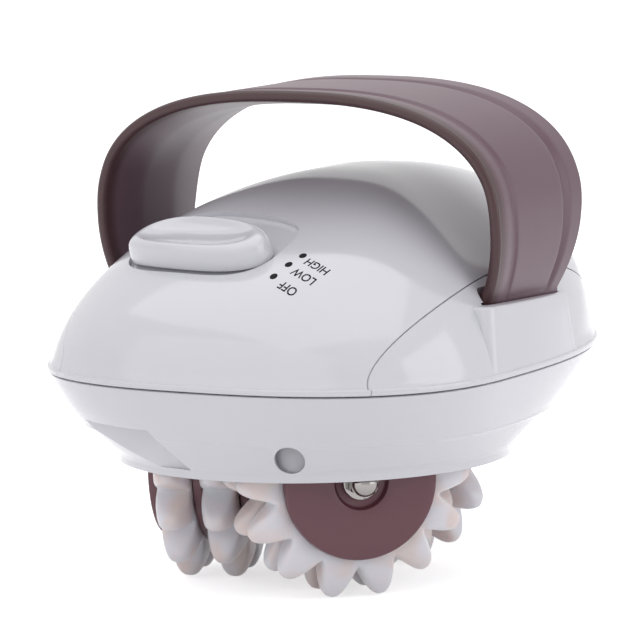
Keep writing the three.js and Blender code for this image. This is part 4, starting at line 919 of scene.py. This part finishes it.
finish_piece(knob, "slider", "white_shell", "switch_knob")

# %% [markdown]
# ## Toothed rings
# Two soft rings sit on each roller, with fourteen rounded fingers each. An array of one finger would
# show the joints between them. So Geometry Nodes build them by a rule: a flat grid is wrapped round
# the axle and round the ring's section, and the outer radius swells into fourteen fingers.

# %% Inputs of the ring's tree
ring_tree = bpy.data.node_groups.new("Toothed ring", "GeometryNodeTree")
ring_inputs = add_inputs(ring_tree, (
    ("Teeth", "Int", 14), ("Tip radius", "Float", 0.0295), ("Root radius", "Float", 0.0216),
    ("Bore radius", "Float", 0.01485), ("Half width", "Float", 0.0044),
    ("Tip half width", "Float", 0.0036),
    ("Points per tooth", "Int", 26), ("Points across", "Int", 44),
    ("Place", "Vector", (0, 0, 0)), ("Turn", "Vector", (0, 0, 0)), ("Finish", "Material", None),
))
ring_tree.interface.new_socket("Geometry", in_out="OUTPUT", socket_type="NodeSocketGeometry")
print("inputs of the ring's tree:", len(ring_inputs))

# %% [markdown]
# The grid's first direction gives the angle and the place within a finger, and so the outer radius.
# The second runs round the section, a soft rectangle in the valleys that gets rounder to the tips.

# %% From a grid to a ring
FLANK_POWER, TIP_POWER = 2.5, 2.0
ROUND_AT_ROOT, ROUND_GAIN = 0.34, 0.42


def do(operation, *values):
    return add_math(ring_tree, operation, *values)


given = add_node(ring_tree, "NodeGroupInput").outputs
columns = do("ADD", do("MULTIPLY", given["Teeth"], given["Points per tooth"]), 1.0)
rows = do("ADD", given["Points across"], 1.0)
grid = add_node(ring_tree, "GeometryNodeMeshGrid", {
    "Size X": 1.0, "Size Y": 1.0, "Vertices X": columns, "Vertices Y": rows}).outputs["Mesh"]
where = add_node(ring_tree, "ShaderNodeSeparateXYZ", {
    0: add_node(ring_tree, "GeometryNodeInputPosition").outputs[0]}).outputs
angle = do("MULTIPLY", where[0], TURN)
turn = do("MULTIPLY", where[1], TURN)
tooth = do("WRAP", do("MULTIPLY_ADD", where[0], given["Teeth"], 0.5), 0.5, -0.5)
off_tooth = do("MULTIPLY", do("ABSOLUTE", tooth), 2.0)
swell = do("POWER", do("SUBTRACT", 1.0, do("POWER", off_tooth, FLANK_POWER)), TIP_POWER)
roundness = do("MULTIPLY_ADD", swell, ROUND_GAIN, ROUND_AT_ROOT)
height = do("SUBTRACT", given["Tip radius"], given["Root radius"])
outer = do("MULTIPLY_ADD", height, swell, given["Root radius"])


def rounded(source):
    return do("MULTIPLY", do("SIGN", source), do("POWER", do("ABSOLUTE", source), roundness))


middle = do("MULTIPLY", do("ADD", outer, given["Bore radius"]), 0.5)
reach = do("MULTIPLY", do("SUBTRACT", outer, given["Bore radius"]), 0.5)
radius = do("MULTIPLY_ADD", reach, rounded(do("COSINE", turn)), middle)
taper = add_node(ring_tree, "ShaderNodeMapRange", {
    "Value": radius, "From Min": given["Root radius"], "From Max": given["Tip radius"],
    "To Min": given["Half width"], "To Max": given["Tip half width"],
}, interpolation_type="SMOOTHSTEP").outputs[0]
wrapped = add_node(ring_tree, "ShaderNodeCombineXYZ", {
    0: do("MULTIPLY", taper, rounded(do("SINE", turn))), 1: do("MULTIPLY", radius, do("SINE", angle)),
    2: do("MULTIPLY", do("MULTIPLY", radius, do("COSINE", angle)), -1.0)}).outputs[0]
shape = grid
for kind, values in (
    ("SetPosition", {"Position": wrapped}),
    ("MergeByDistance", {"Distance": 0.00001}),
    ("Transform", {"Translation": given["Place"], "Rotation": given["Turn"]}),
    ("RealizeInstances", {}),
    ("SetMaterial", {"Material": given["Finish"]}),
):
    shape = add_node(ring_tree, "GeometryNode" + kind, {"Geometry": shape, **values}).outputs[0]
add_node(ring_tree, "NodeGroupOutput", {"Geometry": shape})
print("nodes in the ring's tree:", len(ring_tree.nodes))

# %% [markdown]
# The three rollers stand at even headings round the well. Each ring is the tree's result for its own
# place and turn, taken over as a plain mesh, so the piece itself stays at the origin.

# %% Make the six rings
HEADINGS = [-133, -13, 107]
RING_HALF = 4.4
RING_REACHES = {"outer": 26.85 + RING_HALF, "inner": 15.2 + RING_HALF}


def from_tree(name, tree, values):
    piece = link_piece(name, bpy.data.meshes.new(name))
    modifier = piece.modifiers.new("shape", "NODES")
    modifier.node_group = tree
    for identifier, number in values.items():
        modifier[identifier] = number
    settle(piece)
    face_outwards(piece.data)
    return piece


for number, degrees in enumerate(HEADINGS, 1):
    for label, reach_out in RING_REACHES.items():
        name = f"roller_{number}_{label}_ring"
        ring = from_tree(name, ring_tree, {
            ring_inputs["Place"]: tuple(turned((reach_out, 0, AXLE_Z), degrees) * MM),
            ring_inputs["Turn"]: (0.0, 0.0, math.radians(degrees)),
            ring_inputs["Finish"]: finishes["ivory_ring"]})
        finish_piece(ring, f"roller_{number}", "ivory_ring", name, angle=60)

# %% [markdown]
# ## Turned pieces of the rollers
# Caps, hubs, washers and nuts are round about the axle. A Screw modifier could turn their profiles,
# but the nut needs flats on its way round, so the skin helper does it. Each profile is a list of
# radius and reach, with the small roundings that catch the light.

# %% Profiles of the turned pieces
CAP_PROFILE = [
    (2.8, 35.9), (19.1, 35.9), (19.2, 36.0), (19.2, 37.6), (19.1, 37.95), (18.85, 38.2), (18.5, 38.3),
    (16.5, 38.34), (12.0, 38.36), (9.0, 38.34), (7.2, 38.3), (6.9, 38.22), (6.7, 37.95), (6.5, 37.2),
    (6.3, 36.95), (6.0, 36.8), (2.8, 36.8),
]
HUB_PROFILE = [
    (2.8, 12.55), (18.9, 12.55), (19.35, 12.7), (19.6, 13.1), (19.6, 14.8), (19.5, 14.95),
    (14.6, 14.95), (14.6, 24.12), (19.9, 24.12), (20.2, 24.4), (20.2, 26.45), (19.9, 26.73),
    (14.6, 26.73), (14.6, 35.65), (2.8, 35.65),
]
WASHER_PROFILE = [(2.75, 37.1), (4.3, 37.1), (4.4, 37.2), (4.4, 37.8), (4.3, 37.9), (2.75, 37.9)]
NUT_FLATS, NUT_TOP, NUT_DOME = 3.2, 40.75, 2.7
quarter = np.linspace(0, math.pi / 2, 12)[:-1]
NUT_PROFILE = [(2.62, 38.15), (3.45, 38.15), (3.7, 38.4), (3.7, 40.5), (3.45, NUT_TOP)]
NUT_PROFILE += [(NUT_FLATS * math.cos(t), NUT_TOP + NUT_DOME * math.sin(t)) for t in quarter]
NUT_PROFILE += [(0.02, NUT_TOP + NUT_DOME), (0.02, 41.0), (2.62, 41.0)]
print("points of the nut's profile:", len(NUT_PROFILE))

# %% [markdown]
# The nut is a hexagon under a polished cap. Where a ring of it is wider than the flats allow, it is
# cut back to them. Washers and nuts stay with the turret, because the axles don't turn.

# %% Turned pieces


def turned_piece(name, profile, degrees, flats=None, around=96):
    """A closed profile of (radius, reach) points, turned about the axle with that heading."""
    angle = angles(around)
    rings = []
    for radius, reach_out in profile:
        spread = np.full(around, float(radius))
        if flats and radius > flats:
            corner = np.mod(angle, math.pi / 3) - math.pi / 6
            spread = np.minimum(spread, flats / np.cos(corner))
        reach = np.full(around, reach_out)
        local = np.stack([reach, spread * np.sin(angle), -spread * np.cos(angle)], 1)
        rings.append(turned(local, degrees) + (0, 0, AXLE_Z))
    return skin(name, rings)


for number, degrees in enumerate(HEADINGS, 1):
    roller = f"roller_{number}"
    for part, profile, body, slot, flats in (
        ("cap", CAP_PROFILE, roller, "mauve_plastic", None),
        ("hub", HUB_PROFILE, roller, "mauve_plastic", None),
        ("washer", WASHER_PROFILE, "turret", "chrome", None),
        ("nut", NUT_PROFILE, "turret", "chrome", NUT_FLATS),
    ):
        name = f"{roller}_{part}"
        finish_piece(turned_piece(name, profile, degrees, flats), body, slot, name, angle=28)

# %% [markdown]
# ## Marks beside the switch
# Three dots and the words OFF, LOW and HIGH are printed on the dome. A picture could carry them, but
# the finishes here use none. Blender's text is made a mesh, and each of its points is laid a hair
# above the dome, as a thin layer of ink.

# %% Words and dots as meshes


def written(name, text):
    curve = bpy.data.curves.new(name, "FONT")
    curve.body = text
    curve.size = 1.0
    curve.extrude = 0.1
    curve.align_x = "RIGHT"
    curve.align_y = "CENTER"
    curve.offset = 0.012
    source = link_piece(name, curve)
    mesh = shown_mesh(source)
    bpy.data.objects.remove(source)
    work = bmesh.new()
    work.from_mesh(mesh)
    bmesh.ops.remove_doubles(work, verts=work.verts, dist=0.0001)
    bmesh.ops.triangulate(work, faces=work.faces)
    work.to_mesh(mesh)
    work.free()
    return link_piece(name, mesh)


def dot(name, spread, around=40):
    x, y = spread * np.cos(angles(around)), spread * np.sin(angles(around))
    piece = capped_skin(name, [at_height(x, y, level) for level in (-1.0, 1.0)])
    piece.data.transform(Matrix.Scale(1 / MM, 4))
    return piece


# %% [markdown]
# Each mark has a place on the dome for its dot, and the gap that parts the dot from its word.

# %% Marks
INK = 0.03
MARKS = {"OFF": (-55.1, -12.7, 3.3), "LOW": (-50.6, -14.3, 2.7), "HIGH": (-46.8, -16.1, 2.2)}
READING = math.radians(72)
FORWARD = np.array([math.cos(READING), math.sin(READING)])
UPWARD = np.array([-FORWARD[1], FORWARD[0]])
LETTER, DROP, DOT_RADIUS = 3.2, 0.9, 0.95


def lay_on_dome(piece, origin, size):
    """Lays a flat mesh on the dome: its X axis runs along the reading direction from an origin."""
    mesh = piece.data
    points = np.array([vertex.co[:] for vertex in mesh.vertices])
    flat = origin + points[:, :1] * size * FORWARD + points[:, 1:2] * size * UPWARD
    z = dome_height(flat[:, 0], flat[:, 1]) + np.where(points[:, 2] > 0, INK, -INK)
    mesh.vertices.foreach_set("co", (np.column_stack([flat, z]) * MM).ravel())
    mesh.update()


for text, (*spot, gap) in MARKS.items():
    ink_dot = dot(f"dot_{text.lower()}", DOT_RADIUS)
    lay_on_dome(ink_dot, spot, 1.0)
    finish_piece(ink_dot, "housing", "black_plastic", material=finishes["ink"])
    word = written(f"word_{text.lower()}", text)
    lay_on_dome(word, spot - gap * FORWARD + DROP * UPWARD, LETTER)
    finish_piece(word, "housing", "black_plastic", material=finishes["ink"])

# %% [markdown]
# ## Floor and backdrop
# A plain pale floor, so wide that it fills the picture, and an even world. What the camera sees of
# them is white. For all other light they are darker, so that the white plastic doesn't wash out.

# %% Floor and world


def seen_share(tree):
    """1 for what the camera sees straight, in a mirror or through glass, and 0 for all other light."""
    path = add_node(tree, "ShaderNodeLightPath").outputs
    mirrored = add_math(tree, "MAXIMUM", path["Is Camera Ray"], path["Is Glossy Ray"])
    return add_math(tree, "MAXIMUM", mirrored, path["Is Transmission Ray"])


FLOOR_REACH = 9000
floor = box("floor", (-FLOOR_REACH, -FLOOR_REACH, -8), (FLOOR_REACH, FLOOR_REACH, -0.02))
floor_material = bpy.data.materials.new("Paper white")
floor_material.use_nodes = True
tree = floor_material.node_tree
set_inputs(tree.nodes["Principled BSDF"], {
    "Base Color": (0.93, 0.93, 0.93, 1), "Roughness": 0.9, "Emission Color": (1, 1, 1, 1),
    "Emission Strength": add_math(tree, "MULTIPLY", seen_share(tree), 0.6)})
floor.data.materials.append(floor_material)

world = bpy.data.worlds.new("Soft white")
world.use_nodes = True
bpy.context.scene.world = world
tree = world.node_tree
lighting = set_inputs(tree.nodes["Background"], {"Color": (0.95, 0.95, 1, 1), "Strength": 0.48})
backdrop = add_node(tree, "ShaderNodeBackground", {"Color": (1, 1, 1, 1), "Strength": 1.0})
choice = add_node(tree, "ShaderNodeMixShader", {
    0: seen_share(tree), 1: lighting.outputs[0], 2: backdrop.outputs[0]})
set_inputs(tree.nodes["World Output"], {"Surface": choice.outputs[0]})
print("reach of the floor:", FLOOR_REACH * MM, "m")

# %% [markdown]
# ## Lamps
# Three large lamps stand in for the light boxes of a studio: one overhead, one low on each side of
# the camera. Their size keeps the shadows soft and the reflections broad.

# %% Lamps


def soft_lamp(name, place, aim, size, power):
    light = bpy.data.lights.new(name, "AREA")
    light.shape = "RECTANGLE"
    light.size, light.size_y = size
    light.energy = power
    lamp = link_piece(name, light)
    lamp.location = place
    lamp.rotation_euler = (Vector(aim) - Vector(place)).to_track_quat("-Z", "Y").to_euler()


soft_lamp("overhead", (-0.1, 0.1, 1.5), (0, 0, 0.06), (2.0, 2.0), 12.0)
soft_lamp("left_box", (-1.3, 0.4, 0.6), (0, 0, 0.04), (1.9, 1.3), 4.8)
soft_lamp("right_box", (0.3, -1.6, 0.5), (0, 0, 0.04), (1.4, 1.4), 8.8)

# %% [markdown]
# ## Camera
# The camera stands at the photograph's place: to the front left and a little above, with a long lens
# and a slight tilt. Its three axes are worked out from the two angles and set as one matrix.

# %% Camera
AZIMUTH, ELEVATION, ROLL = math.radians(-60), math.radians(7.41), math.radians(-1.15)
TARGET, DISTANCE, FOCAL_LENGTH = Vector((-0.0269, -0.009, 0.0661)), 1.1845, 271.66
level = math.cos(ELEVATION)
back = Vector((math.sin(AZIMUTH) * level, -math.cos(AZIMUTH) * level, math.sin(ELEVATION)))
right = Vector((math.cos(AZIMUTH), math.sin(AZIMUTH), 0))
up = back.cross(right)
tilted_right = right * math.cos(ROLL) + up * math.sin(ROLL)
tilted_up = up * math.cos(ROLL) - right * math.sin(ROLL)
lens = bpy.data.cameras.new("camera")
lens.lens = FOCAL_LENGTH
lens.clip_end = 50
camera = link_piece("camera", lens)
basis = Matrix((tilted_right, tilted_up, back)).transposed().to_4x4()
camera.matrix_world = Matrix.Translation(TARGET + back * DISTANCE) @ basis
bpy.context.scene.camera = camera
bpy.context.scene.view_settings.view_transform = "Standard"
print("camera at", [round(v, 3) for v in camera.matrix_world.translation])
